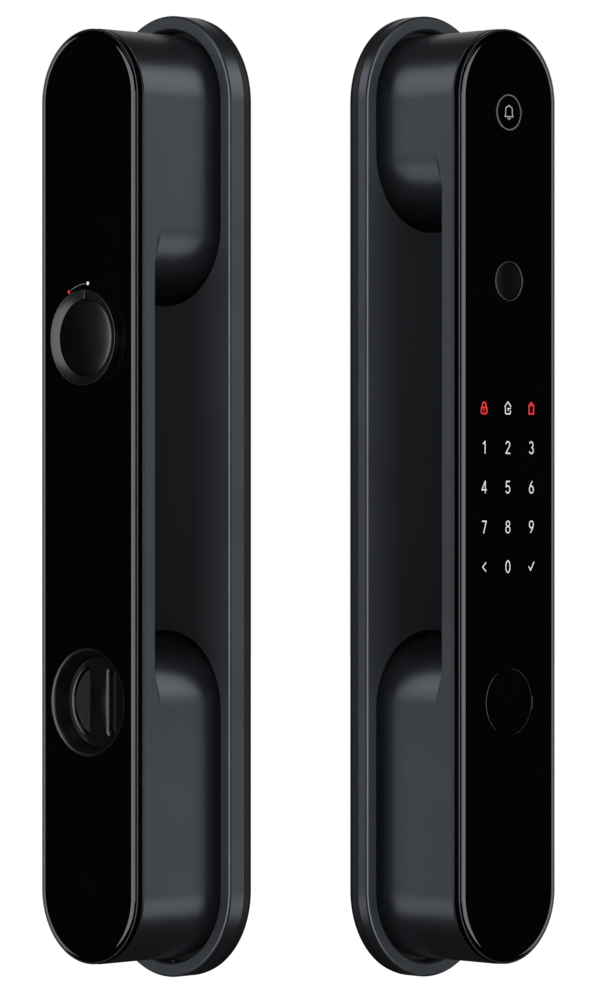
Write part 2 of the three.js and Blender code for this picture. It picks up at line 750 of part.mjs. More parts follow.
function addThumbturn(fixed, handle, layers) {
  const dishRear = layers.glassFront - DISH_DEPTH;
  const turnRear = dishRear + DISH_WALL + FIT;
  const shaftHole = SHAFT_WIDTH * Math.SQRT1_2 + FIT;
  const dish = [
    [shaftHole, dishRear],
    [DISH_RADIUS, dishRear],
    [DISH_RADIUS, layers.glassFront],
    [DISH_RADIUS - DISH_WALL / 2, layers.glassFront],
    [TURN_RADIUS + 2 * FIT, layers.glassFront - TURN_RECESS],
    [TURN_RADIUS + 2 * FIT, dishRear + DISH_WALL],
    [shaftHole, dishRear + DISH_WALL],
    [shaftHole, dishRear],
  ];
  addPiece(handle, "thumbturn_dish", turned(dish, 0, cylinderZ), blackPlastic);

  const turnFront = layers.glassFront - TURN_RECESS;
  const base = disc(TURN_RADIUS, turnRear, turnFront, 0, cylinderZ);
  const scoopFloor = turnFront - SCOOP_DEPTH;
  const scoop = disc(TURN_RADIUS - SCOOP_RIM, scoopFloor, turnFront + CUT, 0, cylinderZ);
  const rib = block(RIB_WIDTH, 2 * TURN_RADIUS, scoopFloor - CUT, turnFront + 2 * CUT, 0, cylinderZ);
  const shaft = block(SHAFT_WIDTH, SHAFT_WIDTH, SHAFT_CLEAR_OF_DOOR, turnRear - SEAT, 0, cylinderZ);
  addPiece(handle, "thumbturn", base.subtract(scoop.subtract(rib)), blackPlastic);
  addPiece(handle, "thumbturn_shaft", shaft, steel);

  const hubRear = layers.floorTop + SEAT;
  const socketWidth = SHAFT_WIDTH + 2 * FIT;
  const socket = block(socketWidth, socketWidth, hubRear - CUT, HUB_TOP + CUT, 0, cylinderZ);
  const barrel = disc(HUB_RADIUS, hubRear, HUB_TOP, 0, cylinderZ);
  const hub = barrel.add(mountingFlange(SHAFT_WIDTH / 2, hubRear)).subtract(socket);
  addPiece(fixed, "deadbolt_hub", hub, steel);
}

function addBattery(group, layers) {
  const middle = handleTop - BATTERY_FROM_TOP - BATTERY_HEIGHT / 2;
  const trayFront = layers.barRear - SEAT;
  const packFront = trayFront - BATTERY_TRAY_WALL - FIT;
  const pack = block(BATTERY_WIDTH, BATTERY_HEIGHT, packFront - BATTERY_DEPTH, packFront, 0, middle);
  addPiece(group, "battery_pack", pack, cellWrap);
  const outerWidth = BATTERY_WIDTH + 2 * (BATTERY_TRAY_WALL + FIT);
  const outerHeight = BATTERY_HEIGHT + 2 * (BATTERY_TRAY_WALL + FIT);
  const trayRear = packFront - BATTERY_DEPTH / 2;
  const outer = block(outerWidth, outerHeight, trayRear, trayFront, 0, middle);
  const innerWidth = BATTERY_WIDTH + 2 * FIT;
  const innerHeight = BATTERY_HEIGHT + 2 * FIT;
  const trayInside = trayFront - BATTERY_TRAY_WALL;
  const inner = block(innerWidth, innerHeight, trayRear - CUT, trayInside, 0, middle);
  addPiece(group, "battery_tray", outer.subtract(inner), blackPlastic);
}

function addMainBoard(group, layers) {
  const width = 2 * (handleRadius - HANDLE_WALL - BOARD_SIDE_GAP);
  const high = knobZ - MAIN_BOARD_BELOW_KNOB;
  const low = Math.max(high - MAIN_BOARD_LENGTH, cylinderZ + DISH_RADIUS + 2 * FIT);
  const rear = layers.trayFloor + SCREW_HEAD_HEIGHT;
  const front = rear + BOARD_THICKNESS;
  let board = slab(rectangle(width, low, high), rear, front);
  const screwX = width / 2 - SCREW_INSET;
  const screws = [[-screwX, high - SCREW_INSET], [screwX, low + SCREW_INSET]];
  screws.forEach(([x, z], index) => {
    board = board.subtract(disc(SCREW_SHANK_RADIUS + FIT, rear - CUT, front + CUT, x, z));
    const screwRear = front + SEAT;
    const shape = boardScrew(screwRear, x, z);
    addPiece(group, "main_board_screw_" + (index + 1), shape, steel);
  });
  addPiece(group, "main_board", board, circuitBoard);
}

// ---- The two halves in the part's frame ----

const lock = new THREE.Group();
const outdoor = buildOutdoor();
const indoor = buildIndoor();
indoor.position.set(-HALF_SPACING, HALF_SPACING, 0);
indoor.rotation.z = -QUARTER_TURN;
lock.add(outdoor, indoor);

export default lock;
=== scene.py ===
# %% [markdown]
# # A keypad push-pull door lock, dressed for a studio picture
#
# The working model is already there: every plate, handle, knob and hinge has its true size and place. This
# lesson loads it, then replaces the parts that are seen with smooth, softly edged ones, and gives each a
# finish. Work goes from the back of the lock to the front, then to the small parts, the printing, the light
# and the camera.

# %% Load the working model
import json
import math

import bmesh
import bpy
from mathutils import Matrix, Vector
from mathutils.geometry import tessellate_polygon

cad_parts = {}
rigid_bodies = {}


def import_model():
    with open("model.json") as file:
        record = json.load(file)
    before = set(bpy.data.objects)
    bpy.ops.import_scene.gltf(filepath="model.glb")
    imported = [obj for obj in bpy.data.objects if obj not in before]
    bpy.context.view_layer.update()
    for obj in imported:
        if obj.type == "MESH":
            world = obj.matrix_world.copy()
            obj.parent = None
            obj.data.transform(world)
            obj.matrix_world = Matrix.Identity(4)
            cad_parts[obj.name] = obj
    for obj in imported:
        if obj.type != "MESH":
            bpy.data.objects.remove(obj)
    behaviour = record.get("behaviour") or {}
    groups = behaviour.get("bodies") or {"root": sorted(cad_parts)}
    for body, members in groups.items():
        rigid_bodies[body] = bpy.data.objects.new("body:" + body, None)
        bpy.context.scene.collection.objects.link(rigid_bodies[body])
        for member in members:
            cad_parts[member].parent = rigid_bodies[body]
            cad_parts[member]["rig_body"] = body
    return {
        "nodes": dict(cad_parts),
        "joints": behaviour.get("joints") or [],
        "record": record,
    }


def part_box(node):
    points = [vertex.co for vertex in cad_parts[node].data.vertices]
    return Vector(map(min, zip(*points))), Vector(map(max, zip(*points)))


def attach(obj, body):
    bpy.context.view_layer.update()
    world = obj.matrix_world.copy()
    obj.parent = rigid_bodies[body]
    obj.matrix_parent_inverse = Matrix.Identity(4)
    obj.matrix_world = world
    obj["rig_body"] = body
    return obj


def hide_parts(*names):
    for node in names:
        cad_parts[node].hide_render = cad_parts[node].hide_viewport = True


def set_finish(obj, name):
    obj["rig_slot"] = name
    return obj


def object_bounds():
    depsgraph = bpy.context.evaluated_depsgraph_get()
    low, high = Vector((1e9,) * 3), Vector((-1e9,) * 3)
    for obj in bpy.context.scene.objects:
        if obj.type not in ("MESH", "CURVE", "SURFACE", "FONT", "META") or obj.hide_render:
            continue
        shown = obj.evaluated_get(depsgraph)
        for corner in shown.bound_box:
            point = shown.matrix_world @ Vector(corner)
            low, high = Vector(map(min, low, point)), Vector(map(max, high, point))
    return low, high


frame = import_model()
cad_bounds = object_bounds()
MM = 0.001

# %% [markdown]
# ## Where things are
#
# The lock has two halves at a right angle to each other. Each one is easiest to think about in its own
# directions: across, up, and out from the door. A small class keeps those directions and turns a local point
# into a real one, so every later function can be written once and used for both halves. The back of each
# half is a mount in the record.

# %% Two halves, each with its own directions
UP = Vector((0, 0, 1))


class Half:
    """One half of the lock, with its own across, up and out directions."""

    def __init__(self, name):
        mount = next(m for m in frame["record"]["mounts"] if m["name"] == name + "_back")
        self.name = name
        self.origin = Vector(mount["pos_m"])
        self.out = -Vector(mount["axis"])
        self.across = UP.cross(self.out).normalized()
        self.mount_body = name + "_mount"
        self.handle_body = name + "_handle"

    def point(self, across, up, out):
        """A local point, in metres, as a point of the model."""
        return self.origin + self.across * across + UP * up + self.out * out

    def spans(self, node):
        """Lowest and highest local coordinates of a node: across, up and out."""
        corners = [corner - self.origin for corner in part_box(node)]
        return [sorted(c.dot(axis) for c in corners) for axis in (self.across, UP, self.out)]

    def local_vertices(self, node):
        """A node's own vertices in local coordinates."""
        places = [v.co - self.origin for v in frame["nodes"][node].data.vertices]
        return [(p.dot(self.across), p.z, p.dot(self.out)) for p in places]


outdoor = Half("outdoor")
indoor = Half("indoor")
for half in (outdoor, indoor):
    print(half.name, "across", tuple(round(c) for c in half.across), "out", tuple(round(c) for c in half.out))

# %% [markdown]
# ## Shader maths that reads like maths
#
# A material in Blender is a graph of nodes. Wiring each Math node by hand hides the formula, so a socket is
# wrapped in a class that overloads the operators: writing 0.3 + mask * 0.5 then makes the two nodes. Every
# other kind of node comes from one method, which takes the node's type, its settings, and what goes into its
# sockets.


# %% A socket that can be calculated with
class Wire:
    """The output of a node, ready to be used in a formula."""

    def __init__(self, paint, socket):
        self.paint = paint
        self.socket = socket

    def math(self, operation, other):
        return self.paint.node("ShaderNodeMath", {"operation": operation}, {0: self, 1: other})

    def __add__(self, other):
        return self.math("ADD", other)

    __radd__ = __add__

    def __mul__(self, other):
        return self.math("MULTIPLY", other)


# %% A material that is built in Python
class Paint:
    """One procedural material, named for a finish of this lock."""

    def __init__(self, name, **plain):
        self.material = bpy.data.materials.new(name)
        self.material.use_nodes = True
        self.tree = self.material.node_tree
        self.surface = self.tree.nodes["Principled BSDF"]
        for socket, value in plain.items():
            self.surface.inputs[socket.replace("_", " ")].default_value = value

    def node(self, kind, settings=None, inputs=None, output=0):
        """Makes a node: its type, its settings, then the values or wires of its sockets."""
        made = self.tree.nodes.new(kind)
        for key, value in (settings or {}).items():
            setattr(made, key, value)
        for key, value in (inputs or {}).items():
            if isinstance(value, Wire):
                self.tree.links.new(value.socket, made.inputs[key])
            else:
                made.inputs[key].default_value = value
        return Wire(self, made.outputs[output])

    def place(self):
        """The point on the object, in metres, which stays with the piece as it moves."""
        return self.node("ShaderNodeTexCoord", output="Object")

    def noise(self, scale, detail=2.0, roughness=0.5, at=None):
        inputs = {"Vector": at or self.place(), "Scale": scale, "Detail": detail, "Roughness": roughness}
        return self.node("ShaderNodeTexNoise", inputs=inputs)

    def blend(self, factor, first, second):
        """Two colours, as red, green and blue, mixed by a factor."""
        inputs = {"Factor": factor, 6: color(*first), 7: color(*second)}
        return self.node("ShaderNodeMix", {"data_type": "RGBA"}, inputs, output=2)

    def ramp(self, wire, low, high):
        """A value rescaled so that low becomes 0 and high becomes 1, and clamped."""
        inputs = {"Value": wire, "From Min": low, "From Max": high}
        return self.node("ShaderNodeMapRange", {"clamp": True}, inputs)

    def cells(self, scale, feature="F1"):
        inputs = {"Vector": self.place(), "Scale": scale}
        return self.node("ShaderNodeTexVoronoi", {"feature": feature}, inputs)

    def feed(self, **wires):
        for socket, wire in wires.items():
            self.tree.links.new(wire.socket, self.surface.inputs[socket.replace("_", " ")])
        return self

    def bump(self, height, strength, distance):
        inputs = {"Height": height, "Strength": strength, "Distance": distance}
        return self.node("ShaderNodeBump", inputs=inputs, output="Normal")


def color(red, green, blue):
    return (red, green, blue, 1.0)


# %% [markdown]
# ## The finishes
#
# The plates and handles are die-cast metal with a satin dark grey coat. Up close such a coat is not flat: it
# has a very fine grain that breaks up reflections, and slow, faint changes of gloss where it was sprayed.
# Both are noise textures, one at about a third of a millimetre and one at some centimetres.


# %% Satin coat on the metal
def make_satin_coat():
    paint = Paint("satin dark grey coat", Metallic=0.8, IOR=1.5)
    grain = paint.noise(3200.0, detail=3.0, roughness=0.6)
    cloud = paint.noise(28.0, detail=3.0)
    mix = paint.ramp(cloud * 0.6 + grain * 0.4, 0.3, 0.7)
    tone = paint.blend(mix, (0.082, 0.088, 0.099), (0.101, 0.109, 0.122))
    gloss = 0.27 + cloud * 0.06 + grain * 0.05
    return paint.feed(Base_Color=tone, Roughness=gloss, Normal=paint.bump(grain, 0.12, 0.00003)).material


SATIN = make_satin_coat()

# %% [markdown]
# The front of each handle is a sheet of black glass. It is nearly perfectly smooth, so what makes it glass
# is its mirror: a low roughness and a clear coat of reflection over a body that gives no light back. A trace
# of handling haze, as roughness that changes slowly, keeps it from looking like a hole.


# %% Black glass
def make_black_glass():
    paint = Paint("black glass", IOR=1.5, Specular_IOR_Level=0.5)
    haze = paint.noise(45.0, detail=4.0, roughness=0.6)
    smear = paint.ramp(haze, 0.52, 0.75)
    body = paint.blend(smear, (0.0005, 0.0005, 0.0006), (0.0008, 0.0008, 0.0009))
    return paint.feed(Base_Color=body, Roughness=0.035 + smear * 0.03).material


GLASS = make_black_glass()


# %% [markdown]
# Moulded plastics and rubber have a texture from their mould: a fine pebble on the base, a smoother one on
# the knobs that fingers turn, and an open-celled look on the gasket that seals against the door.


# %% Moulded plastics and the gasket's rubber
def make_moulded(name, dark, light, roughness, pebble, depth):
    paint = Paint(name, IOR=1.48)
    grain = paint.noise(pebble, detail=2.0)
    wear = paint.noise(40.0, detail=3.0)
    tone = paint.blend(paint.ramp(wear, 0.35, 0.7), dark, light)
    gloss = roughness + wear * 0.08
    return paint.feed(Base_Color=tone, Roughness=gloss, Normal=paint.bump(grain, 0.25, depth)).material


def make_rubber():
    paint = Paint("gasket rubber", IOR=1.45)
    cells = paint.cells(1400.0, "SMOOTH_F1")
    dust = paint.noise(120.0, detail=5.0)
    tone = paint.blend(paint.ramp(dust, 0.4, 0.8), (0.009, 0.009, 0.009), (0.02, 0.02, 0.02))
    gloss = 0.75 + dust * 0.15
    return paint.feed(Base_Color=tone, Roughness=gloss, Normal=paint.bump(cells, 0.5, 0.0001)).material


BASE_PLASTIC, KNOB_PLASTIC, GLOSS_PLASTIC, ACETAL, BATTERY_WRAP = [make_moulded(*look) for look in (
    ("moulded base plastic", (0.006, 0.006, 0.007), (0.01, 0.01, 0.011), 0.5, 2600.0, 0.00005),
    ("satin knob plastic", (0.003, 0.003, 0.004), (0.006, 0.006, 0.007), 0.25, 4200.0, 0.00001),
    ("gloss black plastic", (0.001, 0.001, 0.001), (0.002, 0.002, 0.002), 0.17, 3000.0, 0.00001),
    ("white acetal", (0.74, 0.72, 0.66), (0.82, 0.8, 0.74), 0.4, 1800.0, 0.00002),
    ("blue shrink wrap", (0.012, 0.04, 0.12), (0.02, 0.06, 0.16), 0.3, 500.0, 0.00005),
)]
RUBBER = make_rubber()


# %% [markdown]
# Bare metals get a brushed or turned grain: noise that is stretched a lot in one direction. The trim round
# the glass is dark, so it has a finish of its own.


# %% Bare metals
def make_metal(name, dark, light, roughness, stretch):
    paint = Paint(name, Metallic=1.0)
    inputs = {"Vector": paint.place(), "Scale": stretch}
    stretched = paint.node("ShaderNodeMapping", {"vector_type": "POINT"}, inputs)
    lines = paint.noise(900.0, detail=3.0, at=stretched)
    tone = paint.blend(lines, dark, light)
    gloss = roughness + lines * 0.14
    return paint.feed(Base_Color=tone, Roughness=gloss, Normal=paint.bump(lines, 0.1, 0.00002)).material


STEEL, WIRE, BRASS, COPPER, BLACK_STEEL, TRIM = [make_metal(*look) for look in (
    ("zinc plated steel", (0.5, 0.51, 0.53), (0.66, 0.67, 0.68), 0.24, (1, 1, 0.1)),
    ("spring wire", (0.36, 0.36, 0.37), (0.5, 0.5, 0.5), 0.28, (1, 1, 1)),
    ("turned brass", (0.55, 0.42, 0.2), (0.68, 0.55, 0.3), 0.22, (1, 1, 0.1)),
    ("etched copper", (0.6, 0.28, 0.14), (0.78, 0.42, 0.25), 0.3, (1, 0.1, 1)),
    ("blackened steel", (0.02, 0.02, 0.022), (0.035, 0.035, 0.038), 0.35, (1, 1, 1)),
    ("dark trim", (0.03, 0.031, 0.034), (0.05, 0.052, 0.056), 0.25, (1, 1, 1)),
)]


# %% Circuit board and light guide
def make_circuit_board():
    paint = Paint("green circuit board", IOR=1.5, Coat_Weight=0.4)
    tracks = paint.ramp(paint.cells(420.0), 0.25, 0.3)
    tone = paint.blend(tracks, (0.02, 0.12, 0.055), (0.008, 0.05, 0.024))
    gloss = 0.3 + tracks * 0.2
    return paint.feed(Base_Color=tone, Roughness=gloss, Normal=paint.bump(tracks, 0.3, 0.00003)).material


def make_light_guide():
    paint = Paint("light guide", IOR=1.49)
    mask = paint.ramp(paint.cells(700.0), 0.2, 0.35)
    tone = paint.blend(mask, (0.85, 0.88, 0.9), (0.6, 0.66, 0.7))
    return paint.feed(Base_Color=tone, Roughness=0.15 + mask * 0.3).material


SENSOR = make_moulded(
    "reader face", (0.0008, 0.0008, 0.0009), (0.0015, 0.0015, 0.0016), 0.12, 3000.0, 0.00001
)
BOARD = make_circuit_board()
GUIDE = make_light_guide()


# %% [markdown]
# The digits and icons are printed, or lit from behind through the glass. At this size they read as flat,
# softly uneven ink, so they get a plain ink finish with a little emission, as the backlight gives them.


# %% Inks
INK_DIM = 0.82


def make_ink(name, tint, glow):
    paint = Paint(name, Emission_Color=color(*tint), Emission_Strength=glow)
    speck = paint.noise(2500.0, detail=1.0)
    tone = paint.blend(speck, [INK_DIM * c for c in tint], tint)
    return paint.feed(Base_Color=tone, Roughness=0.4 + speck * 0.15).material


WHITE_INK = make_ink("white ink", (0.56, 0.57, 0.58), 0.3)
RED_INK = make_ink("red ink", (0.5, 0.006, 0.01), 0.35)
SOFT_INK = make_ink("soft white ink", (0.3, 0.31, 0.32), 0.35)
GREY_INK = make_ink("grey ink", (0.09, 0.09, 0.095), 0.25)
print("finishes:", len(bpy.data.materials))

# %% [markdown]
# ## A finish for every part
#
# Springs, boards and bushes are hidden while the lock is whole, but they are real pieces and each keeps its
# own shape from the working model. The record says what each one is made of, so one table turns that into a
# finish. The pieces made later take theirs from the same table, unless they are given another.

# %% Parts get their finish from the record
FINISH_OF_SLOT = {
    "satin_metal": SATIN,
    "black_glass": GLASS,
    "trim": TRIM,
    "black_plastic": BASE_PLASTIC,
    "knob_plastic": KNOB_PLASTIC,
    "rubber_seal": RUBBER,
    "steel": STEEL,
    "spring_steel": WIRE,
    "acetal": ACETAL,
    "circuit_board": BOARD,
    "copper": COPPER,
    "brass": BRASS,
    "battery_wrap": BATTERY_WRAP,
    "light_guide": GUIDE,
    "white_print": WHITE_INK,
    "red_print": RED_INK,
    "grey_print": GREY_INK,
}
slot_of_node = {part["node"]: part["material_slot"] for part in frame["record"]["subparts"]}
for name, node in frame["nodes"].items():
    node.data.materials.clear()
    node.data.materials.append(FINISH_OF_SLOT[slot_of_node[name]])
frame["nodes"]["indoor_bottom_screw"].data.materials[0] = BLACK_STEEL
print("finished nodes:", len(slot_of_node))

# %% [markdown]
# ## Outlines and edges
#
# Nearly everything here is a pill, a rectangle with half-round ends, or a circle. A shape that is known this
# well is better drawn by code than pushed about by hand: one function gives the points for any inset, and
# another gives a rounded edge as a list of insets and depths. Where an edge is round, light has something to
# catch.

# %% Outlines
ARC_STEPS = 56
ROUND_STEPS = 112
EDGE_STEPS = 5


def pill(radius, low, high):
    """A function that gives a pill's points for an inset, counterclockwise from its right side."""

    def points(inset):
        made = []
        for centre, start in ((high - radius, 0.0), (low + radius, math.pi)):
            for step in range(ARC_STEPS + 1):
                angle = start + math.pi * step / ARC_STEPS
                reach = radius - inset
                made.append((reach * math.cos(angle), centre + reach * math.sin(angle)))
        return made

    return points


def circle(radius, height):
    """A function that gives a circle's points for an inset."""

    def points(inset):
        turn = [2 * math.pi * step / ROUND_STEPS for step in range(ROUND_STEPS)]
        reach = radius - inset
        return [(reach * math.cos(a), height + reach * math.sin(a)) for a in turn]

    return points


def hole(outline):
    """The same outline seen from inside: an inset makes it larger."""
    return lambda inset: outline(-inset)


def quarter(steps=EDGE_STEPS):
    """Angles of a quarter turn."""
    return [math.pi / 2 * step / steps for step in range(steps + 1)]


def rounded_front(rear, front, inset, drop):
    """Insets and depths of a wall that ends in a rounded front edge."""
    edge = [(inset * (1 - math.cos(a)), front - drop + drop * math.sin(a)) for a in quarter()]
    return [(0.0, rear)] + edge


def rounded_both(rear, front, radius):
    """Insets and depths of a wall with both edges rounded."""
    edge = [(radius * (1 - math.sin(a)), rear + radius * (1 - math.cos(a))) for a in quarter()]
    return edge + rounded_front(rear, front, radius, radius)[1:]


# %% Solids from outlines
def add_ring(work, half, points, depth):
    return [work.verts.new(half.point(x, z, depth)) for x, z in points]


def join_rings(work, rings, closed=False):
    """Joins each ring of vertices to the next with quads, and the last to the first when closed."""
    count = len(rings[0])
    for first, second in zip(rings, rings[1:] + rings[:1] if closed else rings[1:]):
        for i in range(count):
            work.faces.new((first[i], first[(i + 1) % count], second[(i + 1) % count], second[i]))


def cap(work, loops):
    """Closes loops of vertices with triangles: the first loop is the outside, the others are holes."""
    flat = [vert for loop in loops for vert in loop]
    for corner in tessellate_polygon([[vert.co for vert in loop] for loop in loops]):
        work.faces.new([flat[index] for index in corner])


def slab(half, *loops):
    """A solid slab with holes: loops are pairs of an outline and its edge profile."""
    work = bmesh.new()
    rears = []
    fronts = []
    for outline, profile in loops:
        rings = [add_ring(work, half, outline(inset), depth) for inset, depth in profile]
        join_rings(work, rings)
        rears.append(rings[0])
        fronts.append(rings[-1])
    cap(work, rears)
    cap(work, fronts)
    return work


def band(half, outline, profile):
    """A closed ring that follows an outline: profile is a closed loop of insets and depths."""
    work = bmesh.new()
    join_rings(work, [add_ring(work, half, outline(inset), depth) for inset, depth in profile], closed=True)
    return work


def turned(half, height, profile):
    """A round solid: profile is pairs of a radius and a depth, out from the axis and back to it."""
    work = bmesh.new()
    tip, *wall, end = profile
    rings = [add_ring(work, half, circle(radius, height)(0), depth) for radius, depth in wall]
    join_rings(work, rings)
    for (radius, depth), ring in ((tip, rings[0]), (end, rings[-1])):
        centre = work.verts.new(half.point(radius, height, depth))
        for i in range(len(ring)):
            work.faces.new((centre, ring[i], ring[(i + 1) % len(ring)]))
    return work


# %% [markdown]
# ## Joining, cutting and finishing
#
# A casting with pods and pockets is easiest as a sum and difference of plain solids, the way a machinist
# thinks of it. The Boolean modifier does this, and its result is kept as a mesh. Every finished piece then
# gets smooth shading with sharp edges only where faces really turn, and is told which body it moves with.

# %% Booleans and finished pieces
SMOOTH_ANGLE = math.radians(40)


def loose_object(work):
    bmesh.ops.recalc_face_normals(work, faces=work.faces)
    mesh = bpy.data.meshes.new("solid")
    work.to_mesh(mesh)
    work.free()
    piece = bpy.data.objects.new("solid", mesh)
    bpy.context.scene.collection.objects.link(piece)
    return piece


def combine(base, *parts):
    """Joins or cuts closed solids: parts are pairs of an operation and a solid."""
    piece = loose_object(base)
    for operation, part in parts:
        other = loose_object(part)
        step = piece.modifiers.new("step", "BOOLEAN")
        step.operation = operation
        step.object = other
        step.solver = "EXACT"
        graph = bpy.context.evaluated_depsgraph_get()
        result = bpy.data.meshes.new_from_object(piece.evaluated_get(graph))
        piece.modifiers.clear()
        piece.data = result
        bpy.data.objects.remove(other)
    work = bmesh.new()
    work.from_mesh(piece.data)
    bpy.data.objects.remove(piece)
    return work


def finished(name, work, body, slot, *replaced, material=None):
    """Makes a smooth-shaded object of a solid and says what it rides on and what it stands for."""
    bmesh.ops.recalc_face_normals(work, faces=work.faces)
    mesh = bpy.data.meshes.new(name)
    work.to_mesh(mesh)
    work.free()
    mesh.shade_smooth()
    mesh.set_sharp_from_angle(angle=SMOOTH_ANGLE)
    mesh.materials.append(material or FINISH_OF_SLOT[slot])
    piece = bpy.data.objects.new(name, mesh)
    bpy.context.scene.collection.objects.link(piece)
    shading = piece.modifiers.new("even shading", "WEIGHTED_NORMAL")
    shading.keep_sharp = True
    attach(piece, body)
    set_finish(piece, slot)
    if replaced:
        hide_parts(*replaced)
    return piece


# %% [markdown]
# ## Measuring the working model
#
# A few sizes are read from the working model's own corners: where each pod ends, how deep it sits, and how
# far out the plate, the bar and the glass reach. The new pieces then follow the model by themselves.


# %% Sizes of each half
BAR_THICKNESS = 9.8 * MM
REAR_BAND = 0.5 * MM


def measure(half):
    across, up, out = half.spans(half.name + "_handle_body")
    plate = half.spans(half.name + "_backplate")
    places = half.local_vertices(half.name + "_handle_body")
    rear_heights = [z for x, z, w in places if w < out[0] + REAR_BAND]
    half.handle_radius = across[1]
    half.handle_low, half.handle_high = up
    half.pod_rear, half.front = out
    half.upper_pod_low = min(z for z in rear_heights if z > 0)
    half.lower_pod_high = max(z for z in rear_heights if z < 0)
    half.bar_rear = half.front - BAR_THICKNESS
    half.plate_radius = plate[0][1]
    half.plate_low, half.plate_high = plate[1]
    half.plate_rear, half.face = plate[2]
    half.glass_rear, half.glass_front = half.spans(half.name + "_glass")[2]
    lock_axis = half.spans("cylinder_plug" if half is outdoor else "deadbolt_hub")[1]
    half.axis_height = sum(lock_axis) / 2
    print(half.name, "bar rear", round(half.bar_rear / MM, 2), "front", round(half.front / MM, 2))
    print("  pods end at", round(half.upper_pod_low / MM, 1), round(half.lower_pod_high / MM, 1))


for half in (outdoor, indoor):
    measure(half)

# %% [markdown]
# ## Gasket, base and backplate
#
# Behind each half is a thin rubber gasket, then a black moulded base, then the metal backplate: three bands
# when seen from the side. The plate's front edge is a small bright round, and each handle pod enters a well
# whose rim is chamfered. The gasket and base are also seen from behind, so they keep their openings for
# cable, bolts and cylinder.

# %% Gasket and base
CYLINDER_HOLE = 13 * MM
CABLE_HOLE = 9 * MM
CABLE_FROM_TOP = 62 * MM
BOLT_HOLE = 3.2 * MM
BOLT_HEIGHT = 36 * MM
BASE_FLOOR = 1.6 * MM
BASE_WALL = 2.2 * MM
EASE = 0.3 * MM
LAYER_GAP = 0.1 * MM


def straight(rear, front):
    """Insets and depths of a plain wall."""
    return [(0, rear), (0, front)]


def rear_openings(half, rear, front):
    rounds = [(CYLINDER_HOLE, half.axis_height), (CABLE_HOLE, half.handle_high - CABLE_FROM_TOP)]
    rounds += [(BOLT_HOLE, BOLT_HEIGHT), (BOLT_HOLE, -BOLT_HEIGHT)]
    return [(hole(circle(radius, height)), straight(rear, front)) for radius, height in rounds]


def add_rear_layers(half):
    for part, slot in (("gasket", "rubber_seal"), ("base", "black_plastic")):
        node = half.name + "_" + part
        across, up, (rear, front) = half.spans(node)
        front = min(front, half.plate_rear - LAYER_GAP)
        outline = pill(across[1], *up)
        sheet_front = rear + BASE_FLOOR if part == "base" else front
        openings = rear_openings(half, rear, sheet_front)
        sheet = slab(half, (outline, rounded_both(rear, sheet_front, EASE)), *openings)
        if part == "base":
            low = rear + EASE
            wall = [(0, low)] + rounded_front(low, front, EASE, EASE)[1:]
            wall += [(BASE_WALL, front), (BASE_WALL, low)]
            sheet = combine(sheet, ("UNION", band(half, outline, wall)))
        finished(node + "_moulding", sheet, half.mount_body, slot, node)


# %% The metal backplate with its two wells
PLATE_EDGE = 1.1 * MM
WELL_GAP = 2.2 * MM
WELL_EDGE = 0.8 * MM
RECESS_GAP = 0.2 * MM
RECESS_REACH = 2 * MM


def pods(half):
    """The radius and the ends of a half's two pods."""
    return [
        (half.handle_radius, half.upper_pod_low, half.handle_high),
        (half.handle_radius, half.handle_low, half.lower_pod_high),
    ]


def screw_hole(half, screw):
    """An upright recess for a screw's head, with a little room round it, open below the plate."""
    across, up, out = half.spans(screw)
    radius = (across[1] - across[0]) / 2 + RECESS_GAP
    work = bmesh.new()
    rings = []
    for height in (up[0] - RECESS_REACH, up[0] + RECESS_REACH):
        spots = circle(radius, sum(out) / 2)(0)
        rings.append([work.verts.new(half.point(sum(across) / 2 + x, height, depth)) for x, depth in spots])
    join_rings(work, rings)
    for ring in rings:
        cap(work, [ring])
    return work


def add_backplate(half):
    outer = pill(half.plate_radius, half.plate_low, half.plate_high)
    loops = [(outer, rounded_front(half.plate_rear, half.face, PLATE_EDGE, PLATE_EDGE))]
    for radius, low, high in pods(half):
        well = hole(pill(radius + WELL_GAP, low - WELL_GAP, high + WELL_GAP))
        loops.append((well, [(0, half.plate_rear), (0, half.face - WELL_EDGE), (WELL_EDGE, half.face)]))
    casting = slab(half, *loops)
    if half is indoor:
        casting = combine(casting, ("DIFFERENCE", screw_hole(half, "indoor_bottom_screw")))
    finished(half.name + "_plate_casting", casting, half.mount_body, "satin_metal", half.name + "_backplate")


for half in (outdoor, indoor):
    add_rear_layers(half)
    add_backplate(half)
    print(half.name, "plate", round(2 * half.plate_radius / MM, 1), "mm wide")

# %% [markdown]
# ## The handle
#
# The handle is one casting: a bar that bridges two hollow pods, with a tray in its front for the
# electronics. Its front stops short of the glass, so that the trim stands on it. It is a sum of a bar and
# two pods, each with rounded edges, less its pockets. The pods share the bar's end curves exactly, so their
# walls run on without a seam.

# %% The handle casting
HANDLE_EDGE = 0.9 * MM
HANDLE_WALL = 3.2 * MM
BAR_FLOOR = 2.2 * MM
OVERLAP = 3 * MM
COVE = 3.4 * MM
COVE_STEPS = 8
TRIM_WRAP = 2.2 * MM
CYLINDER_WELL = 14.9 * MM
THUMBTURN_WELL = 23.5 * MM


def bar_outline(half, inset=0):
    """The outline of the whole handle, smaller by an inset."""
    return pill(half.handle_radius - inset, half.handle_low + inset, half.handle_high - inset)


def cove(half, radius, low, high):
    """The fillet that leads a pod's end wall into the bar's rear face, cut flush with the bar's sides."""
    top = half.bar_rear + OVERLAP
    turns = quarter(COVE_STEPS)
    sweep = [(COVE * (math.cos(a) - 1), half.bar_rear - COVE + COVE * math.sin(a)) for a in turns]
    flare = slab(half, (pill(radius, low, high), sweep + [(-COVE, top)]))
    return combine(flare, ("INTERSECT", slab(half, (bar_outline(half), straight(half.pod_rear, top)))))


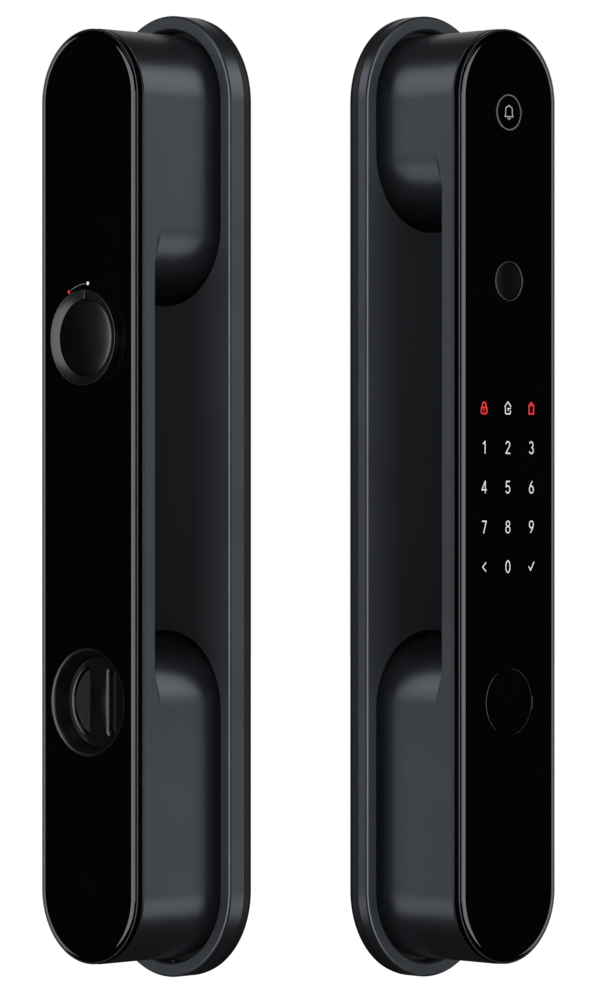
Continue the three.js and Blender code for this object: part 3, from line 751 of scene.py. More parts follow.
def add_handle(half, well_radius):
    half.casting_front = half.front - TRIM_WRAP
    casting = slab(half, (bar_outline(half), rounded_both(half.bar_rear, half.casting_front, HANDLE_EDGE)))
    steps = []
    for radius, low, high in pods(half):
        wall = rounded_both(half.pod_rear, half.bar_rear + 2 * OVERLAP, HANDLE_EDGE)
        wall = wall[:EDGE_STEPS + 1] + [(0, half.bar_rear + OVERLAP)]
        steps.append(("UNION", slab(half, (pill(radius, low, high), wall))))
        steps.append(("UNION", cove(half, radius, low, high)))
    for radius, low, high in pods(half):
        pocket = pill(radius - HANDLE_WALL, low + HANDLE_WALL, high - HANDLE_WALL)
        steps.append(("DIFFERENCE", slab(half, (pocket, straight(half.pod_rear - OVERLAP, half.bar_rear)))))
    top = half.front + OVERLAP
    for outline, rear in (
        (bar_outline(half, HANDLE_WALL), half.bar_rear + BAR_FLOOR),
        (circle(well_radius, half.axis_height), half.bar_rear - OVERLAP),
    ):
        steps.append(("DIFFERENCE", slab(half, (outline, straight(rear, top)))))
    node = half.name + "_handle_body"
    casting = combine(casting, *steps)
    return finished(half.name + "_handle_casting", casting, half.handle_body, "satin_metal", node)


for half, well_radius in ((outdoor, CYLINDER_WELL), (indoor, THUMBTURN_WELL)):
    print(add_handle(half, well_radius).name, "done")

# %% [markdown]
# ## Trim and glass
#
# A slim black trim ring stands on the casting and wraps its corner, so a thin line of light runs round it.
# The glass is what makers call 2.5D: flat, with an edge ground to a long soft curve. That curve is an
# ellipse in section, wide across and shallow in depth, and it is where the panel catches its line of light.

# %% Trim ring and glass
TRIM_INSET = 0.2 * MM
TRIM_WIDTH = 1.0 * MM
TRIM_PROUD = 0.6 * MM
TRIM_ROUND = 0.45 * MM
TRIM_GAP = 0.05 * MM
GLASS_INSET = 1.35 * MM
GLASS_CURVE = 3.0 * MM
GLASS_DROP = 1.15 * MM
HOLE_EDGE = 0.2 * MM
SOFT_EDGE = 0.04 * MM


def add_trim(half):
    over = rounded_front(half.casting_front + TRIM_GAP, half.front + TRIM_PROUD, TRIM_ROUND, TRIM_ROUND)
    back = [(TRIM_WIDTH - inset, depth) for inset, depth in reversed(over)]
    ring = band(half, bar_outline(half, TRIM_INSET), over + back)
    finished(half.name + "_trim", ring, half.handle_body, "trim", half.name + "_trim_ring")


def add_glass(half, holes):
    rear = half.glass_rear
    front = half.glass_front
    loops = [(bar_outline(half, GLASS_INSET), rounded_front(rear, front, GLASS_CURVE, GLASS_DROP))]
    for radius, height, ease in holes:
        loops.append((hole(circle(radius + FIT, height)), straight(rear, front - ease) + [(ease, front)]))
    sheet = slab(half, *loops)
    finished(half.name + "_glass_panel", sheet, half.handle_body, "black_glass", half.name + "_glass")


FIT = 0.3 * MM
BELL_RADIUS = 8.1 * MM
FINGER_RADIUS = 8.8 * MM
COVER_RADIUS = 14.6 * MM
SLEEVE_RADIUS = 19.2 * MM
DISH_RADIUS = 23.2 * MM
bell_height, finger_height, knob_height = [
    sum(half.spans(node)[1]) / 2
    for half, node in ((outdoor, "bell_button"), (outdoor, "fingerprint_bezel"), (indoor, "safety_ring"))
]
for half in (outdoor, indoor):
    add_trim(half)
add_glass(outdoor, [
    (BELL_RADIUS, bell_height, SOFT_EDGE),
    (FINGER_RADIUS, finger_height, SOFT_EDGE),
    (COVER_RADIUS, outdoor.axis_height, HOLE_EDGE),
])
add_glass(indoor, [(SLEEVE_RADIUS, knob_height, SOFT_EDGE), (DISH_RADIUS, indoor.axis_height, SOFT_EDGE)])
print("knob at", round(knob_height / MM, 1), "thumbturn at", round(indoor.axis_height / MM, 1))

# %% [markdown]
# ## Bell key, fingerprint reader and cylinder cover
#
# Three round pieces sit in holes of the outdoor glass. The bell key and the cylinder's cover are flush glass
# discs with a softened edge, so each shows as a fine circle. The reader is a polished ring round a shallow
# dish that a fingertip fits. Turning a profile round an axis makes all of them.


# %% Round pieces of the outdoor half
def rim(radius, front, ease):
    """The rounded front edge of a disc, as radii and depths."""
    return [(radius - inset, depth) for inset, depth in rounded_front(front - ease, front, ease, ease)[1:]]


def disc(half, height, radius, node, ease=EASE):
    """A round disc with a softened front edge, as deep as a node of the working model."""
    rear, front = half.spans(node)[2]
    return turned(half, height, [(0, rear), (radius, rear)] + rim(radius, front, ease) + [(0, front)])


bell = disc(outdoor, bell_height, BELL_RADIUS, "bell_button")
finished("bell_key", bell, "bell_button", "black_glass", "bell_button")

BEZEL_WIDTH = 0.9 * MM
BEZEL_PROUD = 0.15 * MM
BEZEL_DROP = 0.4 * MM
bezel_edge = rounded_front(outdoor.glass_rear, outdoor.glass_front + BEZEL_PROUD, BEZEL_WIDTH / 2, BEZEL_DROP)
bezel_back = [(BEZEL_WIDTH - inset, depth) for inset, depth in reversed(bezel_edge[:-1])]
bezel = band(outdoor, circle(FINGER_RADIUS, finger_height), bezel_edge + bezel_back)
finished("reader_ring", bezel, "outdoor_handle", "trim", "fingerprint_bezel")

SENSOR_GAP = 0.2 * MM
SENSOR_DISH = 0.45 * MM
SENSOR_STEPS = 10
STEM_RADIUS = 5.2 * MM
sensor_radius = FINGER_RADIUS - BEZEL_WIDTH - SENSOR_GAP
sensor_rear = outdoor.spans("fingerprint_sensor")[2][0]
sensor_wall = [(0, sensor_rear), (STEM_RADIUS, sensor_rear), (STEM_RADIUS, outdoor.glass_rear)]
sensor_wall.append((sensor_radius, outdoor.glass_rear))
for t in [step / SENSOR_STEPS for step in range(SENSOR_STEPS + 1)]:
    drop = SENSOR_DISH * math.sin(math.pi / 2 * t)
    sensor_wall.append((sensor_radius * (1 - t), outdoor.glass_front - FIT - drop))
sensor = turned(outdoor, finger_height, sensor_wall)
finished("reader_dish", sensor, "outdoor_handle", "black_glass", "fingerprint_sensor", material=SENSOR)

COVER_SKIRT = 1.1 * MM
COVER_FRONT = 1.6 * MM
cover_rear, cover_front = outdoor.spans("cylinder_cover")[2]
skirt_inner = COVER_RADIUS - COVER_SKIRT
cover_wall = [(r, cover_front - COVER_FRONT) for r in (0, skirt_inner)]
cover_wall += [(r, cover_rear) for r in (skirt_inner, COVER_RADIUS)]
cover_wall += rim(COVER_RADIUS, cover_front, EASE) + [(0, cover_front)]
cover = turned(outdoor, outdoor.axis_height, cover_wall)
finished("key_cover", cover, "cylinder_cover", "black_glass", "cylinder_cover")
print("bell at", round(bell_height / MM, 1), "reader at", round(finger_height / MM, 1), "mm")

# %% [markdown]
# ## Key cylinder
#
# The cover hides an ordinary key cylinder. It shows when the cover is lifted off, so it gets a turned brass
# body, a steel plug and a keyway with its narrow slot.

# %% Cylinder body and plug
PLUG_RADIUS = 6.4 * MM
CYLINDER_RADIUS = 11 * MM
FLANGE_RADIUS = 15.5 * MM
FLANGE = 1.5 * MM
KEYWAY_DEPTH = 20 * MM
KEYWAY = (0.9 * MM, outdoor.axis_height - 4.2 * MM, outdoor.axis_height + 4.2 * MM)

cylinder_rear, cylinder_front = outdoor.spans("cylinder_body")[2]
body_wall = straight(cylinder_rear, cylinder_rear + FLANGE)
body_wall.append((FLANGE_RADIUS - CYLINDER_RADIUS, cylinder_rear + FLANGE))
body_wall += [(FLANGE_RADIUS - r, w) for r, w in rim(CYLINDER_RADIUS, cylinder_front, EASE)]
bore = FLANGE_RADIUS - PLUG_RADIUS - FIT
body_wall += [(bore, cylinder_front), (bore, cylinder_rear)]
cylinder = band(outdoor, circle(FLANGE_RADIUS, outdoor.axis_height), body_wall)
finished("cylinder_barrel", cylinder, "outdoor_mount", "brass", "cylinder_body")
plug = disc(outdoor, outdoor.axis_height, PLUG_RADIUS, "cylinder_body")
keyway = slab(outdoor, (pill(*KEYWAY), straight(cylinder_front - KEYWAY_DEPTH, cylinder_front + OVERLAP)))
finished("key_plug", combine(plug, ("DIFFERENCE", keyway)), "cylinder_plug", "steel", "cylinder_plug")
print("cylinder", round((cylinder_front - cylinder_rear) / MM, 1), "mm long")

# %% [markdown]
# ## Safety ring and unlock button
#
# On the indoor handle a ring turns between two printed dots. It flares outwards like a shallow funnel and
# carries a raised pointer. The button in its middle is slightly domed, so a thumb finds its centre. Both are
# satin plastic, and their soft curves do most of the work in how they look.

# %% Ring, pointer and button
RING_RADIUS = 20.6 * MM
RING_INNER = 16.5 * MM
RING_HEIGHT = 3.2 * MM
RING_LIP = 0.5 * MM
RING_SKIRT = 1.1 * MM
RING_FALL = 1.9 * MM
RING_BEND = 0.85
RING_STEPS = 12
LIP_ROUND = 0.25 * MM
LIP_CORNER = 0.08 * MM
indoor_front = indoor.glass_front
ring_rear = indoor.spans("safety_ring")[2][0]
ring_top = indoor_front + RING_HEIGHT
ring_width = RING_RADIUS - RING_INNER
ring_wall = [(0, indoor_front + FIT), (0, ring_top - LIP_ROUND), (LIP_CORNER, ring_top - LIP_CORNER)]
ring_wall.append((LIP_ROUND, ring_top))
for t in [step / RING_STEPS for step in range(RING_STEPS + 1)]:
    ring_wall.append((RING_LIP + (ring_width - RING_LIP) * t, ring_top - RING_FALL * t ** RING_BEND))
ring_wall += [(ring_width, ring_rear), (ring_width - RING_SKIRT, ring_rear)]
ring_wall.append((ring_width - RING_SKIRT, indoor_front + FIT))
ring = band(indoor, circle(RING_RADIUS, knob_height), ring_wall)
finished("turning_ring", ring, "safety_ring", "knob_plastic", "safety_ring")

POINTER_HALF = 1.7 * MM
POINTER_RISE = 0.6 * MM
POINTER_PROUD = 0.1 * MM
POINTER_EDGE = 0.4 * MM
POINTER_GAPS = (0.2 * MM, 0.1 * MM)
pointer_low = knob_height + RING_INNER + POINTER_GAPS[0]
pointer_high = knob_height + RING_RADIUS - POINTER_GAPS[1]


def box_outline(half_width, low, high):
    """A function that gives a rectangle's corners for an inset."""

    def points(inset):
        x = half_width - inset
        return [(x, high - inset), (-x, high - inset), (-x, low + inset), (x, low + inset)]

    return points


pointer_front = ring_top + POINTER_PROUD
pointer_edge = rounded_front(indoor_front + POINTER_RISE, pointer_front, POINTER_EDGE, POINTER_EDGE)
pointer = slab(indoor, (box_outline(POINTER_HALF, pointer_low, pointer_high), pointer_edge))
finished("turning_ring_pointer", pointer, "safety_ring", "knob_plastic")

DOME_EDGE = 1.1 * MM
DOME_POWER = 1.6
DOME_STEPS = 16
button_radius = RING_INNER - FIT
button_rear, button_front = indoor.spans("unlock_button")[2]
dome_edge = indoor_front + DOME_EDGE
button_wall = [(0, button_rear), (button_radius, button_rear), (button_radius, dome_edge)]
for a in quarter(DOME_STEPS)[1:-1]:
    rise = (button_front - dome_edge) * math.sin(a) ** DOME_POWER
    button_wall.append((button_radius * math.cos(a), dome_edge + rise))
button = turned(indoor, knob_height, button_wall + [(0, button_front)])
finished("unlock_key", button, "unlock_button", "knob_plastic", "unlock_button", material=GLOSS_PLASTIC)
print("ring", round(2 * RING_RADIUS / MM, 1), "mm across")

# %% [markdown]
# ## Thumbturn
#
# The thumbturn is a disc sunk in a dish of the glass. Two D-shaped scoops are cut into it, and the rib for
# finger and thumb is what they leave between them, level with the disc's rim. Each scoop's wall is rounded
# and its floor rises outwards, so that light rolls into it.

# %% Dish, disc, rib and scoops
TURN_RADIUS = 19.5 * MM
TURN_RECESS = 6.4 * MM
RIB_HALF_WIDTH = 5 * MM
SCOOP_RADIUS = 17.3 * MM
SCOOP_DEPTH = 2.4 * MM
SCOOP_SLOPE = 0.5
SCOOP_CORNER = 2.4 * MM
SCOOP_EDGE = 1.5 * MM
SCOOP_STEPS = 8
CORNER_STEPS = 4
DISH_FLOOR = 1.2 * MM
DISH_ROUND = 1.7 * MM
DISH_SUNK = 0.1 * MM
SHAFT_HOLE = 4.6 * MM
TURN_GAP = 0.5 * MM
TURN_EDGE = 0.4 * MM
axis = indoor.axis_height
dish_rear = indoor.spans("thumbturn_dish")[2][0]
dish_floor = dish_rear + DISH_FLOOR
shaft_hole = DISH_RADIUS - SHAFT_HOLE
well_wall = DISH_RADIUS - (TURN_RADIUS + TURN_GAP)
dish_wall = straight(dish_rear, indoor_front - DISH_SUNK)
for a in quarter():
    dish_wall.append((DISH_ROUND * math.sin(a), indoor_front - DISH_ROUND * (1 - math.cos(a))))
dish_wall += [(well_wall, indoor_front - TURN_RECESS), (well_wall, dish_floor)]
dish_wall += [(shaft_hole, dish_floor), (shaft_hole, dish_rear)]
dish = band(indoor, circle(DISH_RADIUS, axis), dish_wall)
finished("thumbturn_well", dish, "indoor_handle", "knob_plastic", "thumbturn_dish")

turn_front = indoor.spans("thumbturn")[2][1]


def scoop_outline(side):
    """A D beside the rib: an arc, and a chord with rounded ends."""

    def points(inset):
        reach = SCOOP_RADIUS - inset
        chord = RIB_HALF_WIDTH + inset
        corner = SCOOP_CORNER - inset / 2
        limit = math.acos((chord + corner) / (reach - corner))
        turn = [limit * (2 * step / ARC_STEPS - 1) for step in range(ARC_STEPS + 1)]
        line = [(reach * math.cos(a), reach * math.sin(a)) for a in turn]
        ends = (chord + corner, (reach - corner) * math.sin(limit))
        for a in quarter(CORNER_STEPS):
            angle = limit + a * (math.pi - limit) / (math.pi / 2)
            line.append((ends[0] + corner * math.cos(angle), ends[1] + corner * math.sin(angle)))
        line += [(x, -z) for x, z in reversed(line[-CORNER_STEPS - 1:])]
        return [(side * x, axis + side * z) for x, z in line]

    return points


def scoop(side):
    """A scoop whose floor rises from the rib towards the disc's rim."""
    turns = reversed(quarter(SCOOP_STEPS))
    wall = [(SCOOP_EDGE * math.sin(a), turn_front - SCOOP_DEPTH * (1 - math.cos(a))) for a in turns]
    work = slab(indoor, (scoop_outline(side), wall + [(0, turn_front + OVERLAP)]))
    for vertex in work.verts:
        away = vertex.co - indoor.origin
        reach = (abs(away.dot(indoor.across)) - RIB_HALF_WIDTH) / (SCOOP_RADIUS - RIB_HALF_WIDTH)
        drop = max(turn_front - away.dot(indoor.out), 0)
        vertex.co += indoor.out * drop * SCOOP_SLOPE * reach
    return work


turn = disc(indoor, axis, TURN_RADIUS, "thumbturn", TURN_EDGE)
turn = combine(turn, *[("DIFFERENCE", scoop(side)) for side in (1, -1)])
finished("thumbturn_grip", turn, "thumbturn", "knob_plastic", "thumbturn", material=GLOSS_PLASTIC)

HUB_RADIUS = 9 * MM
SOCKET_HALF = 3.3 * MM
hub_rear, hub_front = indoor.spans("deadbolt_hub")[2]
hub_wall = [(0, hub_rear), (FLANGE_RADIUS, hub_rear), (FLANGE_RADIUS, hub_rear + FLANGE)]
hub_wall += [(HUB_RADIUS, hub_rear + FLANGE)] + rim(HUB_RADIUS, hub_front, EASE) + [(0, hub_front)]
socket_shape = box_outline(SOCKET_HALF, axis - SOCKET_HALF, axis + SOCKET_HALF)
socket = slab(indoor, (socket_shape, straight(hub_rear - OVERLAP, hub_front + OVERLAP)))
hub = combine(turned(indoor, axis, hub_wall), ("DIFFERENCE", socket))
finished("bolt_hub", hub, "deadbolt_hub", "steel", "deadbolt_hub")
print("thumbturn", round(2 * TURN_RADIUS / MM, 1), "mm across")

# %% [markdown]
# ## Printing
#
# Digits and icons are lines of one width with round ends, as a plotter would draw them. So each one is a
# list of strokes, and a stroke is a flattened tube swept along its points. That gives clean, even shapes at
# any distance, with no font needed. Each figure is drawn one unit tall and then scaled.

# %% Strokes
STROKE_SIDES = 12
INK_HEIGHT = 0.04 * MM
END_STEPS = 4
SMALLEST_END = 0.02


def arc(x, z, wide, tall, start, end, steps=16):
    """Points of an arc, from one angle to another in degrees."""
    turn = [math.radians(start + (end - start) * step / steps) for step in range(steps + 1)]
    return [(x + wide * math.cos(a), z + tall * math.sin(a)) for a in turn]


def add_stroke(work, half, points, width):
    """A flattened tube along a list of points on the glass, with round ends."""
    spots = [Vector(p) for p in points]
    last = len(spots) - 1
    ways = [(spots[min(i + 1, last)] - spots[max(i - 1, 0)]).normalized() for i in range(last + 1)]
    turns = quarter(END_STEPS)[:-1]
    path = [(spots[0] - ways[0] * width / 2 * math.cos(a), ways[0], math.sin(a)) for a in turns]
    path += [(spot, way, 1) for spot, way in zip(spots, ways)]
    path += [(spots[-1] + ways[-1] * width / 2 * math.cos(a), ways[-1], math.sin(a)) for a in reversed(turns)]
    rings = []
    for spot, way, size in path:
        size = max(size, SMALLEST_END)
        ring = []
        for step in range(STROKE_SIDES):
            turn = 2 * math.pi * step / STROKE_SIDES
            shift = width / 2 * size * math.cos(turn)
            depth = half.glass_front + INK_HEIGHT * size * math.sin(turn)
            ring.append(work.verts.new(half.point(spot.x - way.y * shift, spot.y + way.x * shift, depth)))
        rings.append(ring)
    join_rings(work, rings)
    work.faces.new(rings[0])
    work.faces.new(rings[-1])


def draw(name, strokes, centre, height, width, slot, body="outdoor_handle", material=None):
    """Draws strokes, one unit tall, on the outdoor glass at a centre and height in metres."""
    xs = [x for line in strokes for x, z in line]
    middle = ((min(xs) + max(xs)) / 2, 0.5)
    work = bmesh.new()
    for line in strokes:
        points = [[c + (p - m) * height for c, p, m in zip(centre, spot, middle)] for spot in line]
        add_stroke(work, outdoor, points, width)
    return finished(name, work, body, slot, material=material)


# %% Digits and marks of the keypad
FIGURES = {
    "1": [[(0.03, 0.8), (0.23, 0.98)], [(0.25, 1.0), (0.25, 0.0)]],
    "2": [arc(0.26, 0.74, 0.24, 0.26, 165, -25) + [(0.03, 0.02)], [(0.02, 0.0), (0.52, 0.0)]],
    "3": [arc(0.26, 0.76, 0.23, 0.24, 150, -80), arc(0.26, 0.26, 0.26, 0.26, 80, -155)],
    "4": [[(0.42, 0.0), (0.42, 1.0)], [(0.4, 1.0), (0.0, 0.28)], [(0.0, 0.27), (0.56, 0.27)]],
    "5": [[(0.48, 1.0), (0.1, 1.0)], [(0.08, 0.98), (0.05, 0.55)], arc(0.25, 0.31, 0.26, 0.31, 140, -150)],
    "6": [arc(0.27, 0.3, 0.26, 0.3, 0, 360), [(0.04, 0.42), (0.12, 0.64), (0.36, 1.0)]],
    "7": [[(0.02, 1.0), (0.52, 1.0)], [(0.52, 0.98), (0.2, 0.0)]],
    "8": [arc(0.27, 0.77, 0.22, 0.23, 0, 360), arc(0.27, 0.27, 0.26, 0.27, 0, 360)],
    "9": [arc(0.27, 0.7, 0.26, 0.3, 0, 360), [(0.5, 0.58), (0.42, 0.36), (0.18, 0.0)]],
    "back": [[(0.5, 0.86), (0.1, 0.5)], [(0.1, 0.5), (0.5, 0.14)]],
    "0": [arc(0.27, 0.5, 0.26, 0.5, 90, 450, 28)],
    "check": [[(0.0, 0.46), (0.22, 0.16)], [(0.22, 0.16), (0.64, 0.86)]],
}
COLUMN_PITCH = 15 * MM
COLUMN_SHIFT = -0.7 * MM
ROW_PITCH = 17.1 * MM
FIRST_ROW = 21.1 * MM
DIGIT_HEIGHT = 5.0 * MM
DIGIT_STROKE = 0.56 * MM
for index, (mark, strokes) in enumerate(FIGURES.items()):
    row, column = divmod(index, 3)
    centre = (COLUMN_SHIFT + (column - 1) * COLUMN_PITCH, FIRST_ROW - row * ROW_PITCH)
    draw("key_" + mark, strokes, centre, DIGIT_HEIGHT, DIGIT_STROKE, "white_print")
print("keys:", len(FIGURES))

# %% Icons above the digits, and the bell
ICON_ROW = 38.1 * MM
ICON_HEIGHT = 5.3 * MM
WHITE_STROKE = 0.55 * MM
RED_STROKE = 0.8 * MM
padlock = [
    arc(0.4, 0.62, 0.22, 0.3, -20, 200), [(0.08, 0.5), (0.72, 0.5)], [(0.08, 0.5), (0.06, 0.12)],
    [(0.72, 0.5), (0.74, 0.12)], arc(0.4, 0.12, 0.34, 0.12, 180, 360), [(0.39, 0.3), (0.41, 0.26)],
]
house_base = arc(0.2, 0.14, 0.12, 0.12, 180, 270, 6) + arc(0.56, 0.14, 0.12, 0.12, 270, 360, 6)
house = [
    [(0.02, 0.62), (0.38, 1.0)], [(0.38, 1.0), (0.74, 0.62)],
    [(0.08, 0.56), (0.08, 0.14)] + house_base + [(0.68, 0.26)],
    [(0.68, 0.46), (0.4, 0.46)], [(0.4, 0.46), (0.4, 0.3)],
]
battery = [
    [(0.08, 0.76), (0.08, 0.06)], [(0.62, 0.76), (0.62, 0.06)], [(0.08, 0.06), (0.62, 0.06)],
    [(0.08, 0.76), (0.62, 0.76)], [(0.26, 0.94), (0.44, 0.94)], [(0.2, 0.78), (0.26, 0.92)],
    [(0.5, 0.78), (0.44, 0.92)],
]
for column, (name, strokes, width, slot) in enumerate((
    ("icon_lock", padlock, RED_STROKE, "red_print"),
    ("icon_home", house, WHITE_STROKE, "white_print"),
    ("icon_battery", battery, RED_STROKE, "red_print"),
)):
    centre = (COLUMN_SHIFT + (column - 1) * COLUMN_PITCH, ICON_ROW)
    draw(name, strokes, centre, ICON_HEIGHT, width, slot)

BELL_HEIGHT = 6.2 * MM
BELL_STROKE = 0.42 * MM
bell_sign = [
    [(0.42, 0.98)] + arc(0.34, 0.74, 0.26, 0.14, 120, 180, 6) + [(0.08, 0.4), (0.0, 0.2)],
    [(0.42, 0.98)] + arc(0.5, 0.74, 0.26, 0.14, 60, 0, 6) + [(0.76, 0.4), (0.84, 0.2)],
    [(0.0, 0.2), (0.84, 0.2)],
    arc(0.42, 0.12, 0.1, 0.1, 190, 350, 8),
]
bell_centre = (0, bell_height)
draw("bell_sign", bell_sign, bell_centre, BELL_HEIGHT, BELL_STROKE, "grey_print", "bell_button", SOFT_INK)
print("icons drawn")


# %% [markdown]
# A glowing ring and a printed scale finish the faces. The ring just inside the bell key's edge is a painted
# highlight: grey ink with a little glow, standing in for the bright line of a chamfer. The indoor glass has a
# printed scale for the safety ring: a white dot, a red dot and a thin arc between them.


# %% Painted highlight ring, printed scale and dots
def draw_dot(name, half, x, z, radius, slot):
    """A printed dot with a softly raised edge."""
    work = bmesh.new()
    rings = []
    for a in quarter():
        outline = [(x + px, z + pz) for px, pz in circle(radius, 0)(radius * (1 - math.cos(a)) * DOT_SHRINK)]
        rings.append(add_ring(work, half, outline, half.glass_front + INK_HEIGHT * math.sin(a)))
    join_rings(work, rings)
    work.faces.new(rings[0])
    work.faces.new(rings[-1])
    return finished(name, work, half.handle_body, slot)


DOT_SHRINK = 0.98
DOT_RADIUS = 0.8 * MM
BELL_HIGHLIGHT_INSET = 0.65 * MM
BELL_HIGHLIGHT_HALF = 0.25 * MM
SCALE_RADIUS = 23.4 * MM
SCALE_STROKE = 0.35 * MM
SCALE_TURN = 31
SCALE_GAP = 4
# The bell key's grey ring is a painted highlight: a glowing band standing in for the bright line of an edge
# chamfer.
ring_top = outdoor.glass_front + INK_HEIGHT / 2
highlight_low = outdoor.glass_front - EASE
highlight_line = [(-BELL_HIGHLIGHT_HALF, highlight_low), (-BELL_HIGHLIGHT_HALF, ring_top)]
highlight_line += [(BELL_HIGHLIGHT_HALF, ring_top), (BELL_HIGHLIGHT_HALF, highlight_low)]
bell_ring = band(outdoor, circle(BELL_RADIUS - BELL_HIGHLIGHT_INSET, bell_height), highlight_line)
finished("bell_ring", bell_ring, "bell_button", "grey_print")
work = bmesh.new()
ends = (90 + SCALE_GAP, 90 + SCALE_TURN - SCALE_GAP)
add_stroke(work, indoor, arc(0, knob_height, SCALE_RADIUS, SCALE_RADIUS, *ends, 30), SCALE_STROKE)
finished("scale_arc", work, "indoor_handle", "grey_print")
for name, angle in (("white", 90), ("red", 90 + SCALE_TURN)):
    x = SCALE_RADIUS * math.cos(math.radians(angle))
    z = knob_height + SCALE_RADIUS * math.sin(math.radians(angle))
    draw_dot("scale_dot_" + name, indoor, x, z, DOT_RADIUS, name + "_print")
print("scale drawn")

# %% [markdown]
# ## Floor, world and light
#
# A studio picture of black glass is lit by what the glass does not show. Each half has its own softboxes,
# linked to its own pieces. The glass mirrors a level direction beside the camera, and no box that lights the
# glass stands there. Tall boxes on both sides of that direction draw the bright lines along rounded edges.
# The satin side walls mirror the other way, where three boxes, level, above and below, shade them softly,
# and one more is kept to the faces of the plates.

# %% The floor and the world
FLOOR_GAP = 0.5 * MM
FLOOR_CELLS = 24
FLOOR_HALF = 3.0
middle = (outdoor.origin + indoor.origin) / 2
floor_height = cad_bounds[0][2] - FLOOR_GAP
floor_mesh = bpy.data.meshes.new("floor")
work = bmesh.new()
bmesh.ops.create_grid(work, x_segments=FLOOR_CELLS, y_segments=FLOOR_CELLS, size=FLOOR_HALF)
work.to_mesh(floor_mesh)
work.free()
floor = bpy.data.objects.new("floor", floor_mesh)
floor.location = (middle.x, middle.y, floor_height)
bpy.context.scene.collection.objects.link(floor)
pale = Paint("pale floor", Roughness=0.9, Emission_Strength=1.0)
mottle = pale.noise(3.0, detail=2.0)
pale.feed(Base_Color=pale.blend(mottle, (0.8, 0.8, 0.8), (0.84, 0.84, 0.84)))
pale.feed(Emission_Color=pale.blend(mottle, (0.99, 0.99, 0.99), (1.0, 1.0, 1.0)))
floor_mesh.materials.append(pale.material)
floor.visible_glossy = False
floor.visible_diffuse = False

FILL = 0.1
GLOSS_FILL = 0.01
world = bpy.data.worlds.new("studio")
world.use_nodes = True
bpy.context.scene.world = world
tree = world.node_tree
tree.nodes.clear()
rays = tree.nodes.new("ShaderNodeLightPath")
backdrop, fill, gloss = [tree.nodes.new("ShaderNodeBackground") for level in range(3)]
unlit, shown = [tree.nodes.new("ShaderNodeMixShader") for level in range(2)]
exit_node = tree.nodes.new("ShaderNodeOutputWorld")
for node, level in ((backdrop, 1), (fill, FILL), (gloss, GLOSS_FILL)):
    node.inputs["Color"].default_value = color(level, level, level)
for source, target in (
    (rays.outputs["Is Glossy Ray"], unlit.inputs[0]),
    (fill.outputs[0], unlit.inputs[1]),
    (gloss.outputs[0], unlit.inputs[2]),
    (rays.outputs["Is Camera Ray"], shown.inputs[0]),
    (unlit.outputs[0], shown.inputs[1]),
    (backdrop.outputs[0], shown.inputs[2]),
    (shown.outputs[0], exit_node.inputs["Surface"]),
):
    tree.links.new(source, target)
print("floor at", round(floor_height / MM, 1), "mm")


# %% Softboxes
LAMP_TINT = (0.96, 0.98, 1.0)
CAMERA_SIDE = 225


def group_of(half):
    """Every object that moves with one half, so that lights can be kept to it."""
    bodies = {half.mount_body, half.handle_body}
    for joint in frame["joints"]:
        if joint["parent"] in bodies and not joint["child"].endswith("_mount"):
            bodies.add(joint["child"])
    group = bpy.data.collections.new("lit_" + half.name)
    for piece in bpy.data.objects:
        if piece.get("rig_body") in bodies:
            group.objects.link(piece)
    return group


unblocked = bpy.data.collections.new("floor_only")
unblocked.objects.link(floor)


def softbox(name, receivers, blockers, azimuth, elevation, distance, width, height, brightness):
    """A soft light aimed at the lock: brightness is what its face would show, where white is 1."""
    a = math.radians(azimuth)
    e = math.radians(elevation)
    way = Vector((math.cos(a) * math.cos(e), math.sin(a) * math.cos(e), math.sin(e)))
    lamp = bpy.data.lights.new(name, "AREA")
    lamp.shape = "RECTANGLE"
    lamp.size = width
    lamp.size_y = height
    lamp.energy = brightness * math.pi * width * height
    lamp.color = LAMP_TINT
    light = bpy.data.objects.new(name, lamp)
    light.location = middle + way * distance
    light.rotation_euler = (-way).to_track_quat("-Z", "Y").to_euler()
    light.visible_camera = False
    light.light_linking.receiver_collection = receivers
    light.light_linking.blocker_collection = blockers
    bpy.context.scene.collection.objects.link(light)
    return light


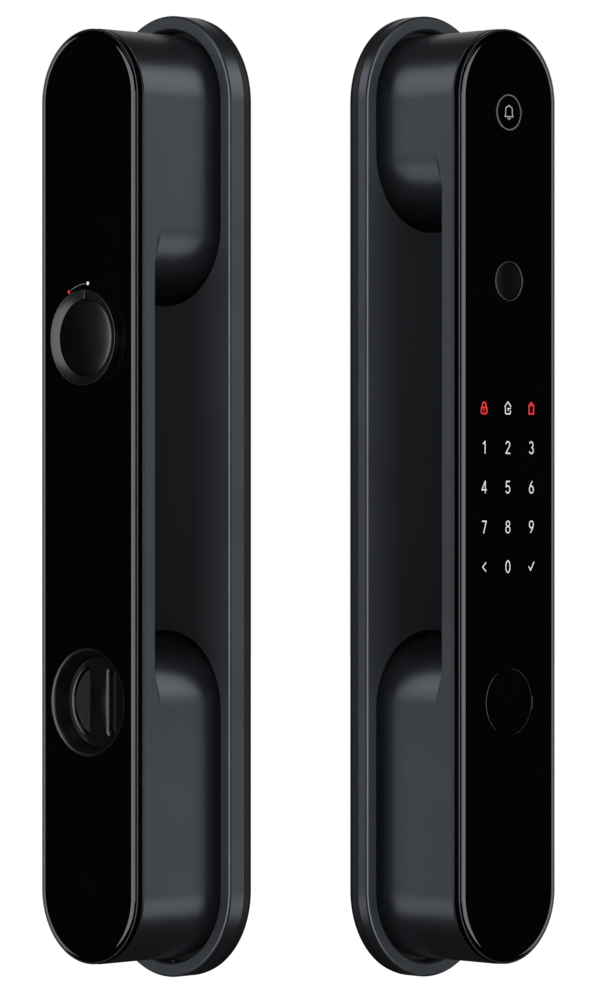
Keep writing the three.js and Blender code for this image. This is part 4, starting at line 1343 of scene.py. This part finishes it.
# Each box: its name and pieces, then azimuth, elevation, distance, width, height and brightness.
for half, side, front, behind, level in ((outdoor, -1, 275, 345, 0.49), (indoor, 1, 175, 105, 0.58)):
    group = group_of(half)
    glossy = bpy.data.collections.new("glossy_" + half.name)
    dull = bpy.data.collections.new("dull_" + half.name)
    metals = bpy.data.collections.new("metals_" + half.name)
    for piece in group.objects:
        kind = glossy if piece.get("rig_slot") in ("trim", "black_glass") else dull
        kind.objects.link(piece)
        if piece.get("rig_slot") == "satin_metal":
            metals.objects.link(piece)
    mirrored = CAMERA_SIDE + side * 90
    for name, receivers, *numbers in (
        ("front", group, front, 0, 1.8, 1.7, 2.2, 3.6),
        ("by_camera", group, CAMERA_SIDE, 0, 2.2, 1.2, 1.2, 1.6),
        ("behind", glossy, behind, 0, 1.8, 1.0, 2.0, 1.5),
        ("overhead", group, CAMERA_SIDE, 62, 1.6, 1.0, 0.6, 1.0),
        ("rim", group, 45, 30, 2.5, 2.0, 1.0, 0.5),
        ("wall", dull, mirrored, 5, 4.0, 2.5, 1.4, level),
        ("wall_above", dull, mirrored + side * 8, 27, 4.0, 2.5, 1.9, 3 * level),
        ("wall_below", dull, mirrored + side * 3, -20, 4.0, 2.5, 1.5, 2.2 * level),
    ):
        softbox(name + "_" + half.name, receivers, group, *numbers)
    softbox("plate_" + half.name, metals, unblocked, CAMERA_SIDE - side * 90, 0, 4.0, 2.5, 2.6, 0.12)

# %% [markdown]
# ## Camera
#
# The camera is level with the middle of the lock and looks along the bisector of the two halves, so that it
# sees each face and one side wall of each at 45 degrees. A long lens from about two metres keeps the sides
# nearly parallel. A hair of shift centres the pair.

# %% Camera and colour
CAMERA_DISTANCE = 2.1
camera_data = bpy.data.cameras.new("camera")
for setting, value in (
    ("sensor_fit", "VERTICAL"), ("sensor_height", 36), ("lens", 172.2),
    ("shift_x", -0.0006), ("shift_y", -0.0035), ("clip_start", 0.05),
):
    setattr(camera_data, setting, value)
camera = bpy.data.objects.new("camera", camera_data)
view_way = Vector((-1, -1, 0)).normalized()
camera.location = middle + view_way * CAMERA_DISTANCE
camera.rotation_euler = (-view_way).to_track_quat("-Z", "Y").to_euler()
bpy.context.scene.collection.objects.link(camera)
bpy.context.scene.camera = camera
bpy.context.scene.view_settings.view_transform = "Standard"
print("camera at", [round(c, 3) for c in camera.location])
